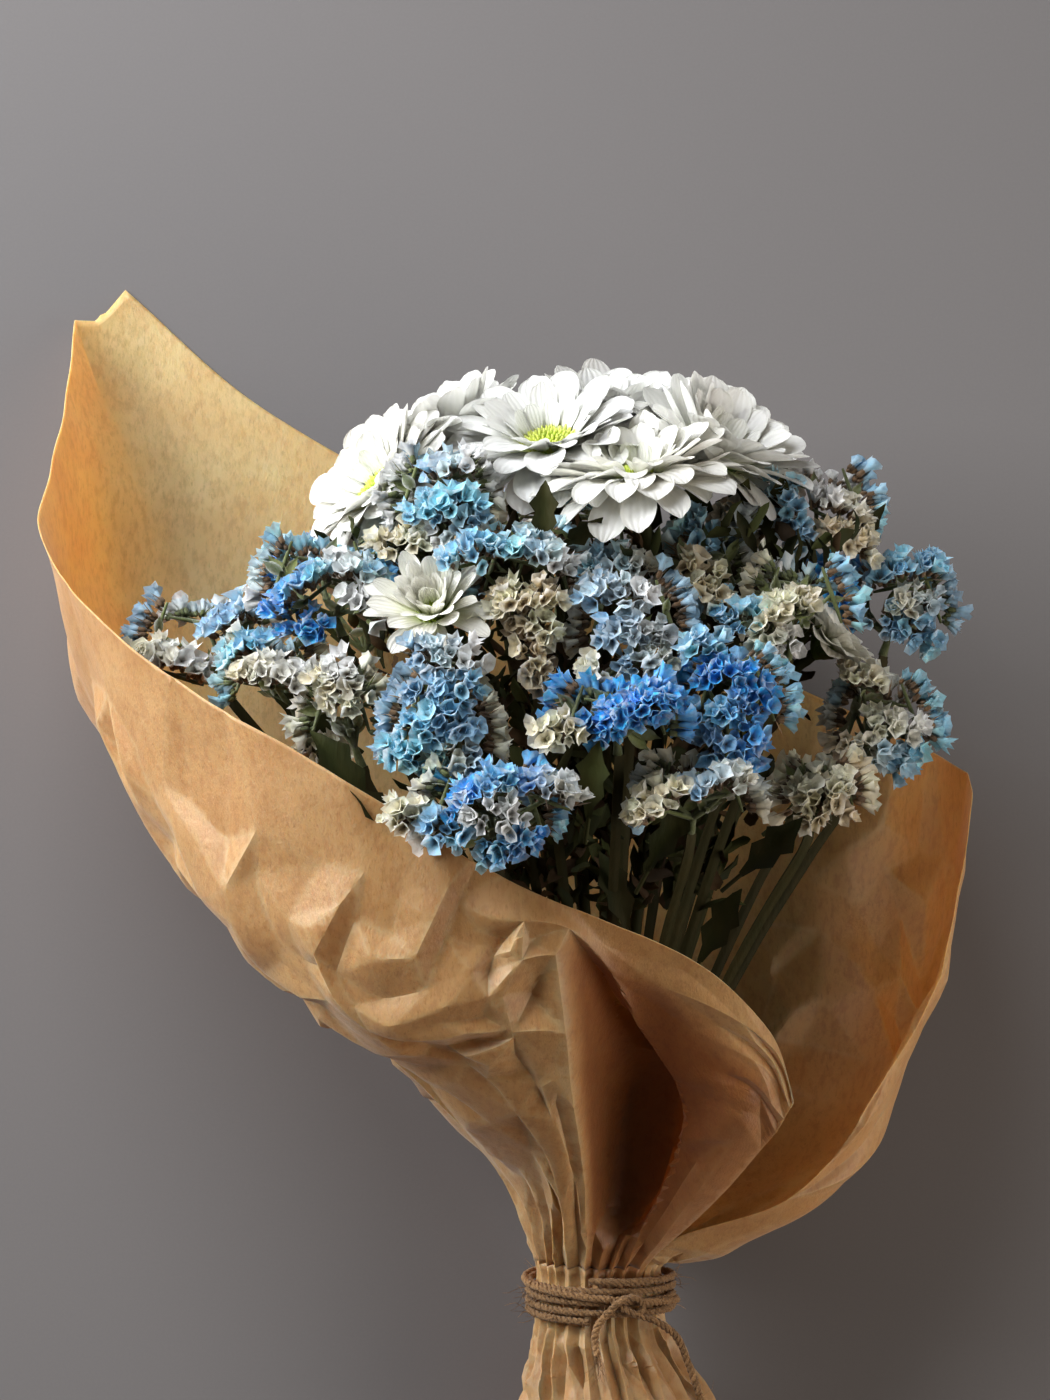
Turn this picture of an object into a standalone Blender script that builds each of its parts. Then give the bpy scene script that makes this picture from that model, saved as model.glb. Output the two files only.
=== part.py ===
"""Mixed flower bouquet: white chrysanthemums and dyed statice in a kraft paper cone tied with jute twine.

The bouquet lies on its back on a flat surface at Z = 0. It is laid out about its own axis, with
x to the right, a along the axis from the tie (a = 0) towards the flower heads, and f away from the
surface it lies on. The root empty then tilts this axis, because the head end rests on the wide
back of the paper and the tail end on the rim of the gathered paper, and centres the model.
Lengths in the tables are in millimetres.
"""
import math

import bmesh
import bpy
from mathutils import Matrix, Vector
from mathutils.bvhtree import BVHTree

MM = 0.001
COLLECTION = "mixed_flower_bouquet"

# The lie of the bouquet
TILT = math.radians(11.6)       # the axis climbs towards the flower heads
TIE_HEIGHT = 53.0               # height of the axis at the tie

# The tied neck and the tail below it
NECK_OUTER = 23.5               # outside of the gathered paper under the twine
NECK_WALL = 5.0                 # the gathered pleats, measured through all their layers
PAPER_WALL = 1.2                # one sheet with the air in its creases
NECK_TOP = 9.0
NECK_BOTTOM = -13.0
TAIL_END = -95.0                # cut edge of the paper tail
STEM_END = -118.0               # cut ends of the stems
# Rings of the paper tail: place along the axis, centre to the right, radius
TAIL_RINGS = ((-24.0, 2.0, 26.0), (-42.0, 6.0, 33.5), (-68.0, 7.0, 36.5), (TAIL_END, 8.0, 38.0))

# The twine
TWINE_RADIUS = 1.4
TWINE_PITCH = 3.5
TWINE_TURNS = 4
TWINE_CLEAR = 0.75              # between the twine's corners and the paper's outermost folds
TWINE_STEPS = 16                # points in each turn

# The stems
CHRYSANTHEMUM_STEM = 2.5        # radius
STATICE_STEM = 2.25             # radius, over the wings of the stem
STEM_GAP = 0.3                  # between two stems where the twine presses them together
FAN_ORDER = (26.0, 40.0)        # from a head's direction to its stem's place in the neck, along x, f
STEM_BOW = 1.5                  # how much the stems bow outwards above the tie
STEM_TWIST = 0.0035             # spiral below the tie, radians for each millimetre
STEM_SPREAD = 0.0035            # widening below the tie, for each millimetre
SEAT_GAP = 0.3                  # between a stem and the head it carries
HEAD_GAP = 0.5                  # between heads that press on each other

# One meridian of the paper in each row, from the lower edge of the front flap round the front,
# the left side, the back and the right wing to the wing's free edge: the angle at the neck in
# degrees from x towards f, then three points up the sheet and the point on its free edge.
# The last value is True where the free edge turns a corner of the sheet.
MERIDIANS = (
    (48, (31, 27, 36), (54, 56, 60), (62, 70, 70), (65, 78, 74), False),
    (60, (25, 34, 42), (44, 67, 68), (54, 87, 76), (55, 98, 78), False),
    (76, (17, 37, 36), (30, 71, 56), (36, 101, 76), (36, 117, 84), False),
    (90, (6, 38, 29), (9, 78, 48), (9, 116, 76), (5, 134, 92), False),
    (107, (-8, 42, 44), (-14, 81, 76), (-20, 126, 94), (-25, 146, 97), False),
    (120, (-15, 42, 46), (-28, 78, 76), (-48, 114, 93), (-48, 158, 97), False),
    (133, (-20, 42, 42), (-45, 77, 67), (-80, 108, 86), (-78, 177, 93), False),
    (146, (-25, 41, 34), (-57, 75, 54), (-108, 119, 74), (-109, 195, 84), False),
    (160, (-29, 40, 20), (-65, 77, 34), (-136, 139, 50), (-140, 212, 66), False),
    (175, (-34, 39, 4), (-72, 80, 10), (-161, 170, 21), (-176, 238, 38), False),
    (190, (-36, 38, -12), (-74, 80, -16), (-178, 196, -14), (-201, 268, 0), False),
    (205, (-33, 37, -28), (-73, 80, -42), (-180, 209, -50), (-203, 294, -48), False),
    (217, (-29, 36, -42), (-65, 82, -62), (-170, 213, -86), (-202, 329, -92), False),
    (228, (-22, 36, -50), (-56, 82, -72), (-141, 208, -98), (-203, 357, -120), True),
    (238, (-16, 36, -54), (-44, 82, -76), (-122, 213, -102), (-184, 370, -130), True),
    (250, (-8, 36, -57), (-29, 82, -76), (-97, 213, -102), (-134, 326, -125), False),
    (270, (5, 35, -58), (2, 80, -76), (-45, 205, -100), (-64, 285, -116), False),
    (290, (18, 34, -56), (28, 79, -75), (12, 190, -97), (10, 248, -108), False),
    (308, (28, 31, -50), (52, 73, -72), (63, 163, -90), (71, 217, -100), False),
    (325, (36, 27, -40), (76, 67, -58), (103, 141, -72), (111, 198, -80), False),
    (345, (45, 19, -24), (94, 55, -30), (122, 117, -36), (136, 182, -34), True),
    (365, (50, 14, -4), (96, 49, -2), (124, 115, -8), (133, 168, -8), False),
    (385, (42, 14, 14), (86, 41, 18), (115, 99, 10), (127, 142, 6), False),
    (408, (25, 20, 26), (66, 36, 28), (98, 72, 22), (120, 112, 16), False),
)
COLUMN_STEPS = 2                # grid columns between two meridians
ROW_STEPS = 2                   # grid rows between two points of a meridian

# Chrysanthemums: name, centre of the bloom, way it faces, radius over its petals
CHRYSANTHEMUMS = (
    ("chrysanthemum_1", (-18, 301, 15), (-0.1, 0.86, 0.5), 34),
    ("chrysanthemum_2", (-80, 284, -5), (-0.6, 0.78, 0.15), 32),
    ("chrysanthemum_3", (-54, 308, -32), (-0.4, 0.9, -0.2), 30),
    ("chrysanthemum_4", (46, 305, 0), (0.45, 0.85, 0.3), 33),
    ("chrysanthemum_5", (10, 284, 48), (-0.2, 0.9, 0.35), 31),
    ("chrysanthemum_6", (5, 319, -38), (0.1, 0.95, -0.3), 31),
    ("chrysanthemum_7", (-58, 239, 66), (0.15, 0.6, 0.78), 21),
    ("chrysanthemum_8", (80, 230, 22), (0.7, 0.7, 0.1), 22),
)
# A bloom's outline from its crown to its base: share of the radius, height over the centre
BLOOM_RINGS = ((0.22, 1.0), (0.62, 3.5), (1.0, 8.5), (0.97, 5.0), (0.55, -4.0), (0.2, -11.0))
BLOOM_CROWN = 0.5
BLOOM_BASE = -12.0
BLOOM_SEGMENTS = 20
BLOOM_SCALLOP = 0.05            # how far every second petal tip stands out

# Statice: name, centre of the flower spray, its half sizes along x, a and f, and its turn in the
# plane of x and a, in degrees
STATICE = (
    ("statice_01", (-141, 230, 18), (32, 20, 17), -20),
    ("statice_02", (-113, 218, 48), (22, 18, 15), -10),
    ("statice_03", (-96, 249, 42), (29, 20, 19), 20),
    ("statice_04", (-89, 204, 66), (17, 22, 14), 0),
    ("statice_05", (-56, 280, 42), (24, 17, 17), 15),
    ("statice_06", (-28, 253, 60), (25, 22, 16), 0),
    ("statice_07", (-55, 200, 86), (20, 32, 14), -10),
    ("statice_08", (-40, 173, 104), (29, 17, 13), -15),
    ("statice_09", (10, 236, 68), (24, 24, 15), 0),
    ("statice_10", (4, 203, 97), (27, 14, 12), 12),
    ("statice_11", (44, 208, 80), (21, 25, 14), 0),
    ("statice_12", (30, 178, 92), (25, 16, 12), 15),
    ("statice_13", (36, 254, 44), (19, 18, 15), 0),
    ("statice_14", (77, 277, 3), (29, 22, 18), -25),
    ("statice_15", (68, 243, 50), (24, 20, 15), 20),
    ("statice_16", (108, 244, -2), (24, 21, 16), -10),
    ("statice_17", (98, 203, 32), (22, 21, 15), -20),
    ("statice_18", (75, 178, 57), (19, 14, 13), 0),
    ("statice_19", (-92, 243, -66), (38, 29, 25), 15),
    ("statice_20", (-16, 262, -70), (38, 29, 25), 0),
    ("statice_21", (58, 238, -62), (36, 28, 24), -15),
)
SPRAY_SEGMENTS = 12
SPRAY_RINGS = 8
SPRAY_LUMPS = 0.07              # how uneven a spray's outline is


def clear_scene():
    for item in list(bpy.data.objects):
        bpy.data.objects.remove(item)


def surface_height(a):
    """Where the supporting surface lies in f, at a place along the axis."""
    return -(TIE_HEIGHT + a * math.sin(TILT)) / math.cos(TILT)


def catmull_rom(points, steps, corners=()):
    """A smooth line through points, with steps parts between two of them and sharp corners."""
    line = []
    last = len(points) - 1
    for i in range(last):
        here, there = points[i], points[i + 1]
        before = points[i - 1] if i > 0 and i not in corners else here * 2 - there
        after = points[i + 2] if i + 1 < last and i + 1 not in corners else there * 2 - here
        for step in range(steps):
            t = step / steps
            line.append(0.5 * (2 * here + (there - before) * t
                               + (2 * before - 5 * here + 4 * there - after) * t ** 2
                               + (3 * here - before - 3 * there + after) * t ** 3))
    line.append(points[-1].copy())
    return line


def material(name, colour, roughness):
    made = bpy.data.materials.new(name)
    made.use_nodes = True
    shader = made.node_tree.nodes["Principled BSDF"]
    shader.inputs["Base Color"].default_value = (*colour, 1.0)
    shader.inputs["Roughness"].default_value = roughness
    shader.inputs["Metallic"].default_value = 0.0
    return made


def add_object(name, data, finish, root):
    item = bpy.data.objects.new(name, data)
    item.data.materials.append(finish)
    bpy.data.collections[COLLECTION].objects.link(item)
    item.parent = root
    return item


def mesh_from_bmesh(name, bm):
    bmesh.ops.recalc_face_normals(bm, faces=bm.faces)
    bmesh.ops.scale(bm, vec=(MM, MM, MM), verts=bm.verts)
    mesh = bpy.data.meshes.new(name)
    bm.to_mesh(mesh)
    bm.free()
    mesh.shade_smooth()
    return mesh


# ---------------------------------------------------------------- the kraft paper

def neck_point(angle, a, radius, shift=0.0):
    turn = math.radians(angle)
    return Vector((shift + radius * math.cos(turn), a, radius * math.sin(turn)))


def paper_rows():
    """The sheet as rows of points, from the end of the tail to the free edge."""
    rows = []
    for a, shift, radius in reversed(TAIL_RINGS):
        rows.append([neck_point(m[0], a, radius, shift) for m in MERIDIANS])
    for a in (NECK_BOTTOM, 0.5 * (NECK_BOTTOM + NECK_TOP), NECK_TOP):
        rows.append([neck_point(m[0], a, NECK_OUTER) for m in MERIDIANS])
    for level in (1, 2, 3, 4):
        rows.append([Vector(m[level]) for m in MERIDIANS])
    corners = {i for i, m in enumerate(MERIDIANS) if m[5]}
    smooth = [catmull_rom(row, COLUMN_STEPS) for row in rows[:-1]]
    smooth.append(catmull_rom(rows[-1], COLUMN_STEPS, corners))
    neck = len(TAIL_RINGS) + 2
    columns = []
    for column in zip(*smooth):
        above = catmull_rom(list(column[neck:]), ROW_STEPS)
        columns.append(list(column[:neck]) + above)
    return [list(row) for row in zip(*columns)], neck


def paper_wrap(finish, root):
    rows, neck = paper_rows()
    bm = bmesh.new()
    grid = []
    for r, row in enumerate(rows):
        line = []
        for point in row:
            point.z = max(point.z, surface_height(point.y))
            line.append(bm.verts.new(point))
        if r <= neck:
            bm.verts.remove(line[-1])
            line[-1] = line[0]
        grid.append(line)
    for low, high in zip(grid, grid[1:]):
        for i in range(len(low) - 1):
            bm.faces.new((low[i], low[i + 1], high[i + 1], high[i]))
    bm.normal_update()
    middle = grid[neck - 1][0]
    outward = sum((f.normal.dot(middle.co - Vector((0, middle.co.y, 0)))
                   for f in middle.link_faces))
    if outward < 0:
        bmesh.ops.reverse_faces(bm, faces=bm.faces)
    bm.verts.index_update()
    gathered = [v.index for v in grid[neck - 2][:-1] + grid[neck - 1][:-1]]
    bmesh.ops.scale(bm, vec=(MM, MM, MM), verts=bm.verts)
    mesh = bpy.data.meshes.new("kraft_paper_wrap")
    bm.to_mesh(mesh)
    bm.free()
    mesh.shade_smooth()
    wrap = add_object("kraft_paper_wrap", mesh, finish, root)
    walls = wrap.vertex_groups.new(name="gathered")
    walls.add(range(len(mesh.vertices)), 0.0, "REPLACE")
    walls.add(gathered, 1.0, "REPLACE")
    shell = wrap.modifiers.new("sheet", "SOLIDIFY")
    shell.thickness = NECK_WALL * MM
    shell.offset = -1.0
    shell.vertex_group = walls.name
    shell.thickness_vertex_group = PAPER_WALL / NECK_WALL
    return wrap


# ---------------------------------------------------------------- the twine

def tube(name, points, radius, finish, root, sides):
    """A tube with filled caps along points in millimetres."""
    curve = bpy.data.curves.new(name, "CURVE")
    curve.dimensions = "3D"
    curve.bevel_depth = radius * MM
    curve.bevel_resolution = sides
    curve.render_resolution_u = 0
    curve.use_fill_caps = True
    spline = curve.splines.new("POLY")
    spline.points.add(len(points) - 1)
    for place, point in zip(spline.points, points):
        place.co = (*(point * MM), 1.0)
    return add_object(name, curve, finish, root)


def twine_tie(finish, root):
    """The turns of twine round the neck, with the end pulled away at the front."""
    radius = NECK_OUTER + TWINE_RADIUS + TWINE_CLEAR
    start = -0.5 * TWINE_PITCH * TWINE_TURNS - 2.0
    points = []
    for i in range(TWINE_TURNS * TWINE_STEPS + 1):
        turn = i / TWINE_STEPS
        angle = math.tau * turn + math.radians(100)
        points.append(Vector((radius * math.cos(angle), start + TWINE_PITCH * turn,
                              radius * math.sin(angle))))
    return tube("twine_tie", points, TWINE_RADIUS, finish, root, 1)


# ---------------------------------------------------------------- the flower heads

def facing_matrix(centre, normal):
    up = Vector(normal).normalized()
    return Matrix.Translation(centre) @ up.to_track_quat("Z", "Y").to_matrix().to_4x4()


def bloom_shape(centre, normal, radius):
    """A chrysanthemum's outer shape: a shallow scalloped cup of petals over its green base."""
    bm = bmesh.new()
    bmesh.ops.create_uvsphere(bm, u_segments=BLOOM_SEGMENTS, v_segments=len(BLOOM_RINGS) + 1,
                              radius=1.0)
    size = radius / CHRYSANTHEMUMS[0][3]
    for v in bm.verts:
        ring = round(math.acos(max(-1.0, min(1.0, v.co.z))) / math.pi * (len(BLOOM_RINGS) + 1))
        if ring == 0:
            v.co = Vector((0, 0, BLOOM_CROWN * size))
        elif ring == len(BLOOM_RINGS) + 1:
            v.co = Vector((0, 0, BLOOM_BASE * size))
        else:
            share, height = BLOOM_RINGS[ring - 1]
            angle = math.atan2(v.co.y, v.co.x)
            wave = BLOOM_SCALLOP * math.cos(angle * BLOOM_SEGMENTS / 2) if share > 0.9 else 0.0
            reach = radius * share * (1 + wave)
            v.co = Vector((reach * math.cos(angle), reach * math.sin(angle), height * size))
    bmesh.ops.transform(bm, matrix=facing_matrix(centre, normal), verts=bm.verts)
    return bm


def spray_shape(centre, half, turn, seed):
    """A statice spray's outer shape: an uneven rounded mass of small flowers."""
    bm = bmesh.new()
    bmesh.ops.create_uvsphere(bm, u_segments=SPRAY_SEGMENTS, v_segments=SPRAY_RINGS, radius=1.0)
    for v in bm.verts:
        side = math.atan2(v.co.y, v.co.x)
        lump = math.sin(3 * side + seed) * math.cos(2.5 * v.co.z + 2 * seed)
        lump += math.sin(5 * side - 3 * seed) * (1 - v.co.z ** 2) * 0.6
        v.co *= 1 + SPRAY_LUMPS * lump
    size = Matrix.Diagonal((half[0], half[1], half[2], 1.0))
    spin = Matrix.Rotation(math.radians(turn), 4, "Z")
    bmesh.ops.transform(bm, matrix=Matrix.Translation(centre) @ spin @ size, verts=bm.verts)
    return bm


def press_apart(heads):
    """Flatten heads where they press on each other, and on the paper they lie on."""
    cuts = {name: [] for name in heads}
    names = list(heads)
    for i, one in enumerate(names):
        for other in names[i + 1:]:
            away = heads[other]["centre"] - heads[one]["centre"]
            way = away.normalized()
            reach = [max((v.co - heads[n]["centre"]).dot(way * sign) for v in heads[n]["bm"].verts)
                     for n, sign in ((one, 1), (other, -1))]
            if sum(reach) + HEAD_GAP > away.length:
                split = away.length * reach[0] / sum(reach)
                cuts[one].append((way, split - HEAD_GAP / 2))
                cuts[other].append((-way, away.length - split - HEAD_GAP / 2))
    for name, planes in cuts.items():
        head = heads[name]
        for v in head["bm"].verts:
            for _ in range(3):
                for way, limit in planes:
                    beyond = (v.co - head["centre"]).dot(way) - limit
                    if beyond > 0:
                        v.co -= way * beyond
            v.co.z = max(v.co.z, surface_height(v.co.y) + PAPER_WALL + HEAD_GAP)


# ---------------------------------------------------------------- the stems

def pack_neck(wanted, radii):
    """Press the stems together at the tie while they keep the order that their heads ask for."""
    places = [Vector((FAN_ORDER[0] * p.x / p.y, FAN_ORDER[1] * p.z / p.y)) for p in wanted]
    for pull in [0.992] * 600 + [1.0] * 200:
        for p in places:
            p *= pull
        for i in range(len(places)):
            for j in range(i + 1, len(places)):
                apart = places[j] - places[i]
                short = radii[i] + radii[j] + STEM_GAP - apart.length
                if short > 0:
                    push = apart.normalized() * short * 0.5
                    places[i] -= push
                    places[j] += push
    return places


def stem_path(place, foot, way):
    """A stem from its cut end through the tie to the foot of its head, which it meets along way."""
    points = []
    for a in (STEM_END, 0.5 * STEM_END, NECK_BOTTOM, NECK_TOP):
        below = max(0.0, -a)
        turned = place.copy()
        turned.rotate(Matrix.Rotation(STEM_TWIST * below, 2))
        turned *= 1 + STEM_SPREAD * below
        points.append(Vector((turned.x + 0.06 * below, a, turned.y)))
    last = foot - way * 14.0
    start = Vector((place.x, NECK_TOP, place.y))
    for share in (0.2, 0.42, 0.64, 0.84, 1.0):
        side = start.lerp(last, share ** STEM_BOW)
        points.append(Vector((side.x, start.y + (last.y - start.y) * share, side.z)))
    points.append(foot)
    return points


def seat_stem(points, head, radius):
    """Draw the stem's last point back until the stem is clear of the head that it carries."""
    tree = BVHTree.FromBMesh(head)
    end = points[-1]
    way = (end - points[-2]).normalized()
    across = way.orthogonal().normalized()
    rim = [Matrix.Rotation(math.tau * i / 12, 3, way) @ across * radius for i in range(12)]
    for _ in range(400):
        gap = min(tree.find_nearest(end + step)[3] for step in rim + [Vector((0, 0, 0))])
        inside = any((tree.find_nearest(end + step)[0] - end - step)
                     .dot(tree.find_nearest(end + step)[1]) > 0 for step in rim)
        if gap >= SEAT_GAP and not inside:
            break
        end = end - way * 0.1
    points[-1] = end


def flower(name, head_kind, head, place, radius, finishes, root):
    way = head["way"]
    points = stem_path(place, head["foot"], way)
    bmesh.ops.recalc_face_normals(head["bm"], faces=head["bm"].faces)
    head["bm"].normal_update()
    seat_stem(points, head["bm"], radius)
    tube(name + "_stem", points, radius, finishes["stem"], root, 1)
    mesh = mesh_from_bmesh(name + "_" + head_kind, head["bm"])
    return add_object(name + "_" + head_kind, mesh, finishes[head_kind], root)


def flowers(finishes, root):
    heads = {}
    for name, centre, normal, radius in CHRYSANTHEMUMS:
        way = Vector(normal).normalized()
        size = radius / CHRYSANTHEMUMS[0][3]
        heads[name] = {"centre": Vector(centre), "way": way, "bm": bloom_shape(centre, normal, radius),
                       "foot": Vector(centre) + way * BLOOM_BASE * size}
    for i, (name, centre, half, turn) in enumerate(STATICE):
        way = Vector((centre[0] * 0.8, centre[1], centre[2] * 0.8)).normalized()
        heads[name] = {"centre": Vector(centre), "way": way,
                       "bm": spray_shape(centre, half, turn, 0.9 * i),
                       "foot": Vector(centre) - way * half[1] * 0.7}
    press_apart(heads)
    radii = [CHRYSANTHEMUM_STEM] * len(CHRYSANTHEMUMS) + [STATICE_STEM] * len(STATICE)
    places = pack_neck([head["centre"] for head in heads.values()], radii)
    for (name, head), place, radius in zip(heads.items(), places, radii):
        kind = "bloom" if name.startswith("chrysanthemum") else "spray"
        flower(name, kind, head, place, radius, finishes, root)


# ---------------------------------------------------------------- the whole bouquet

def centre_on_surface(root):
    """Move the root so that the origin is under the middle of the bouquet's bounding box."""
    bpy.context.view_layer.update()
    graph = bpy.context.evaluated_depsgraph_get()
    corners = []
    for item in bpy.data.collections[COLLECTION].objects:
        if item.type == "EMPTY":
            continue
        shape = item.evaluated_get(graph)
        mesh = shape.to_mesh()
        corners += [shape.matrix_world @ v.co for v in mesh.vertices]
        shape.to_mesh_clear()
    for axis in (0, 1):
        values = [c[axis] for c in corners]
        root.location[axis] -= 0.5 * (min(values) + max(values))


def main():
    clear_scene()
    collection = bpy.data.collections.new(COLLECTION)
    bpy.context.scene.collection.children.link(collection)
    root = bpy.data.objects.new("bouquet_axis", None)
    collection.objects.link(root)
    root.rotation_euler = (TILT, 0.0, 0.0)
    root.location = (0.0, 0.0, TIE_HEIGHT * MM)
    finishes = {
        "bloom": material("white_petals", (0.86, 0.85, 0.80), 0.55),
        "spray": material("statice_flowers", (0.36, 0.56, 0.74), 0.75),
        "stem": material("green_stems", (0.10, 0.13, 0.05), 0.65),
    }
    paper_wrap(material("kraft_paper", (0.55, 0.36, 0.20), 0.8), root)
    twine_tie(material("jute_twine", (0.42, 0.30, 0.17), 0.9), root)
    flowers(finishes, root)
    centre_on_surface(root)


main()
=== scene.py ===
"""The looks of the mixed flower bouquet: creased kraft paper, chrysanthemums, statice and twine.

Everything is laid out about the bouquet's own axis in millimetres, with x to the right, a along
the axis from the tie (a = 0) towards the flower heads and f up from the surface it lies on, as the
CAD is. Shape.finish turns these into the frame's metres.
"""
import math

import bmesh
import bpy
import numpy as np
from mathutils import Matrix, Vector, noise as perlin
from mathutils.bvhtree import BVHTree
from mathutils.geometry import delaunay_2d_cdt
from mathutils.kdtree import KDTree


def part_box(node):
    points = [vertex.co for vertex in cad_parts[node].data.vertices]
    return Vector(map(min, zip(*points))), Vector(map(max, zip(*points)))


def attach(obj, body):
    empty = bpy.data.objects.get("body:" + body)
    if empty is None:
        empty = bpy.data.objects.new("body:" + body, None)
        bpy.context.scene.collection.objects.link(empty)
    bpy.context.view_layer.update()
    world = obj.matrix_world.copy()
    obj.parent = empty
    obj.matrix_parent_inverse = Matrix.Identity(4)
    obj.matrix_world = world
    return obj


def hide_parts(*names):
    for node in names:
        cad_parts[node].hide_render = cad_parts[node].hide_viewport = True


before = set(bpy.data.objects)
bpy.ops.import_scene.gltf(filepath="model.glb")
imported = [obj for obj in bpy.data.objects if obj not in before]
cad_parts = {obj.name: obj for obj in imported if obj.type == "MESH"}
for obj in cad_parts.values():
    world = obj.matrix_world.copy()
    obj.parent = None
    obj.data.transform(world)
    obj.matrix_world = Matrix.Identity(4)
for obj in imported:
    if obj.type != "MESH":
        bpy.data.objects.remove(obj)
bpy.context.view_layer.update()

MM = 0.001
PAPER_SEED, TWINE_SEED, LEAF_SEED, SPRAY_SEED = 5, 9, 12, 40    # of the random draws
CAD_STEM_SIDES = 6                  # points in each ring of a CAD stem
TILT = math.radians(11.6)           # the axis climbs towards the flower heads
TIE_MIDDLE = -2.0                   # place of the middle of the twine's turns on the axis
CAMERA_AIM = (-27.0, 209.0)         # x and a that the camera looks at
CAMERA_DISTANCE = 1300.0
VIEW_HEIGHT = 500.0                 # what the frame covers at the axis
DAYLIGHT, WARM = (0.95, 0.97, 1.0), (1.0, 0.93, 0.87)
# Lamps: name, place in x, a and f, size in metres, watts, colour, and the point they shine on
LAMPS = (
    ("window", (-1350.0, 850.0, 450.0), 0.9, 34.0, DAYLIGHT, (-60.0, 340.0, 30.0)),
    ("skylight", (-450.0, 1250.0, 560.0), 0.8, 12.5, DAYLIGHT, (-60.0, 320.0, 0.0)),
    ("fill", (950.0, -100.0, 480.0), 0.9, 8.0, WARM, (380.0, 60.0, -80.0)),
)

twine_low, twine_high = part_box("twine_tie")
TURN = Matrix.Rotation(TILT, 4, "X")
LAY = Matrix.Translation((twine_low + twine_high) / 2) @ TURN @ Matrix.Translation(
    (0.0, -TIE_MIDDLE * MM, 0.0))
LAY_TURN = np.array(LAY.to_3x3())
LAY_PLACE = np.array(LAY.translation)
AXIS_HEIGHT = LAY_PLACE[2] / MM     # of the axis over the surface, at the tie


def surface_height(a):
    """Where the supporting surface lies in f, at a place along the axis."""
    return -(AXIS_HEIGHT + a * math.sin(TILT)) / math.cos(TILT)


# ---------------------------------------------------------------- camera, floor and light

def stage_floor():
    bpy.ops.mesh.primitive_plane_add(size=6.0)
    floor = bpy.context.object
    floor.name = "floor"
    floor.data.materials.append(plain_material("pale_floor", (0.195, 0.185, 0.183), 0.9))


def studio_lamp(name, place, size, watts, colour, aim):
    """A square soft lamp at x, a, f in millimetres that shines on the point aim."""
    lamp = bpy.data.lights.new(name, "AREA")
    lamp.size = size
    lamp.energy = watts
    lamp.color = colour
    item = bpy.data.objects.new(name, lamp)
    bpy.context.scene.collection.objects.link(item)
    item.location = LAY @ (Vector(place) * MM)
    item.rotation_euler = (item.location - LAY @ (Vector(aim) * MM)).to_track_quat("Z", "Y").to_euler()


def camera_and_light():
    lens = bpy.data.cameras.new("camera")
    lens.sensor_fit = "VERTICAL"
    lens.sensor_height = 36.0
    lens.lens = lens.sensor_height * CAMERA_DISTANCE / VIEW_HEIGHT
    camera = bpy.data.objects.new("camera", lens)
    bpy.context.scene.collection.objects.link(camera)
    camera.matrix_world = LAY @ Matrix.Translation(
        (CAMERA_AIM[0] * MM, CAMERA_AIM[1] * MM, CAMERA_DISTANCE * MM))
    bpy.context.scene.camera = camera
    bpy.context.scene.view_settings.view_transform = "Standard"
    bpy.context.scene.view_settings.exposure = 0.15
    bpy.context.scene.view_settings.gamma = 0.86
    for row in LAMPS:
        studio_lamp(*row)
    world = bpy.data.worlds.new("studio")
    world.use_nodes = True
    glow = world.node_tree.nodes["Background"]
    glow.inputs["Color"].default_value = (1.0, 0.83, 0.66, 1.0)
    glow.inputs["Strength"].default_value = 0.06
    bpy.context.scene.world = world


# ---------------------------------------------------------------- materials

def shader_of(name, roughness, **inputs):
    """A material with its node tree and shader. Other inputs are named with _ for a space."""
    made = bpy.data.materials.new(name)
    made.use_nodes = True
    tree = made.node_tree
    shader = tree.nodes["Principled BSDF"]
    shader.inputs["Roughness"].default_value = roughness
    for key, value in inputs.items():
        shader.inputs[key.replace("_", " ")].default_value = value
    return made, tree, shader


def plain_material(name, colour, roughness):
    made, tree, shader = shader_of(name, roughness)
    grain = noise(tree, 900.0, 3.0)
    blend = mix(tree, grain, colour, tuple(c * 0.93 for c in colour))
    tree.links.new(blend, shader.inputs["Base Color"])
    return made


def noise(tree, scale, detail, stretch=(1.0, 1.0, 1.0), rough=0.55):
    """Noise over the object's own coordinates, its scale in ripples for each metre."""
    place = tree.nodes.new("ShaderNodeTexCoord")
    squeeze = tree.nodes.new("ShaderNodeMapping")
    squeeze.inputs["Scale"].default_value = stretch
    made = tree.nodes.new("ShaderNodeTexNoise")
    made.inputs["Scale"].default_value = scale
    made.inputs["Detail"].default_value = detail
    made.inputs["Roughness"].default_value = rough
    tree.links.new(place.outputs["Object"], squeeze.inputs["Vector"])
    tree.links.new(squeeze.outputs["Vector"], made.inputs["Vector"])
    return made.outputs["Fac"]


def ramp(tree, value, low, high, start=0.0, end=1.0):
    """Stretch a value from between low and high to between start and end."""
    made = tree.nodes.new("ShaderNodeMapRange")
    made.inputs["From Min"].default_value = low
    made.inputs["From Max"].default_value = high
    made.inputs["To Min"].default_value = start
    made.inputs["To Max"].default_value = end
    tree.links.new(value, made.inputs["Value"])
    return made.outputs["Result"]


def mix(tree, share, first, second, kind="MIX"):
    """Mix two colours, each a colour or a socket, by a share that is a number or a socket."""
    made = tree.nodes.new("ShaderNodeMix")
    made.data_type = "RGBA"
    made.blend_type = kind
    for name, value in (("Factor", share), ("A", first), ("B", second)):
        kinds = "VALUE" if name == "Factor" else "RGBA"
        socket = next(s for s in made.inputs if s.name == name and s.type == kinds)
        if isinstance(value, bpy.types.NodeSocket):
            tree.links.new(value, socket)
        else:
            socket.default_value = value if kinds == "VALUE" else (*value, 1.0)
    return next(s for s in made.outputs if s.type == "RGBA")


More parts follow.
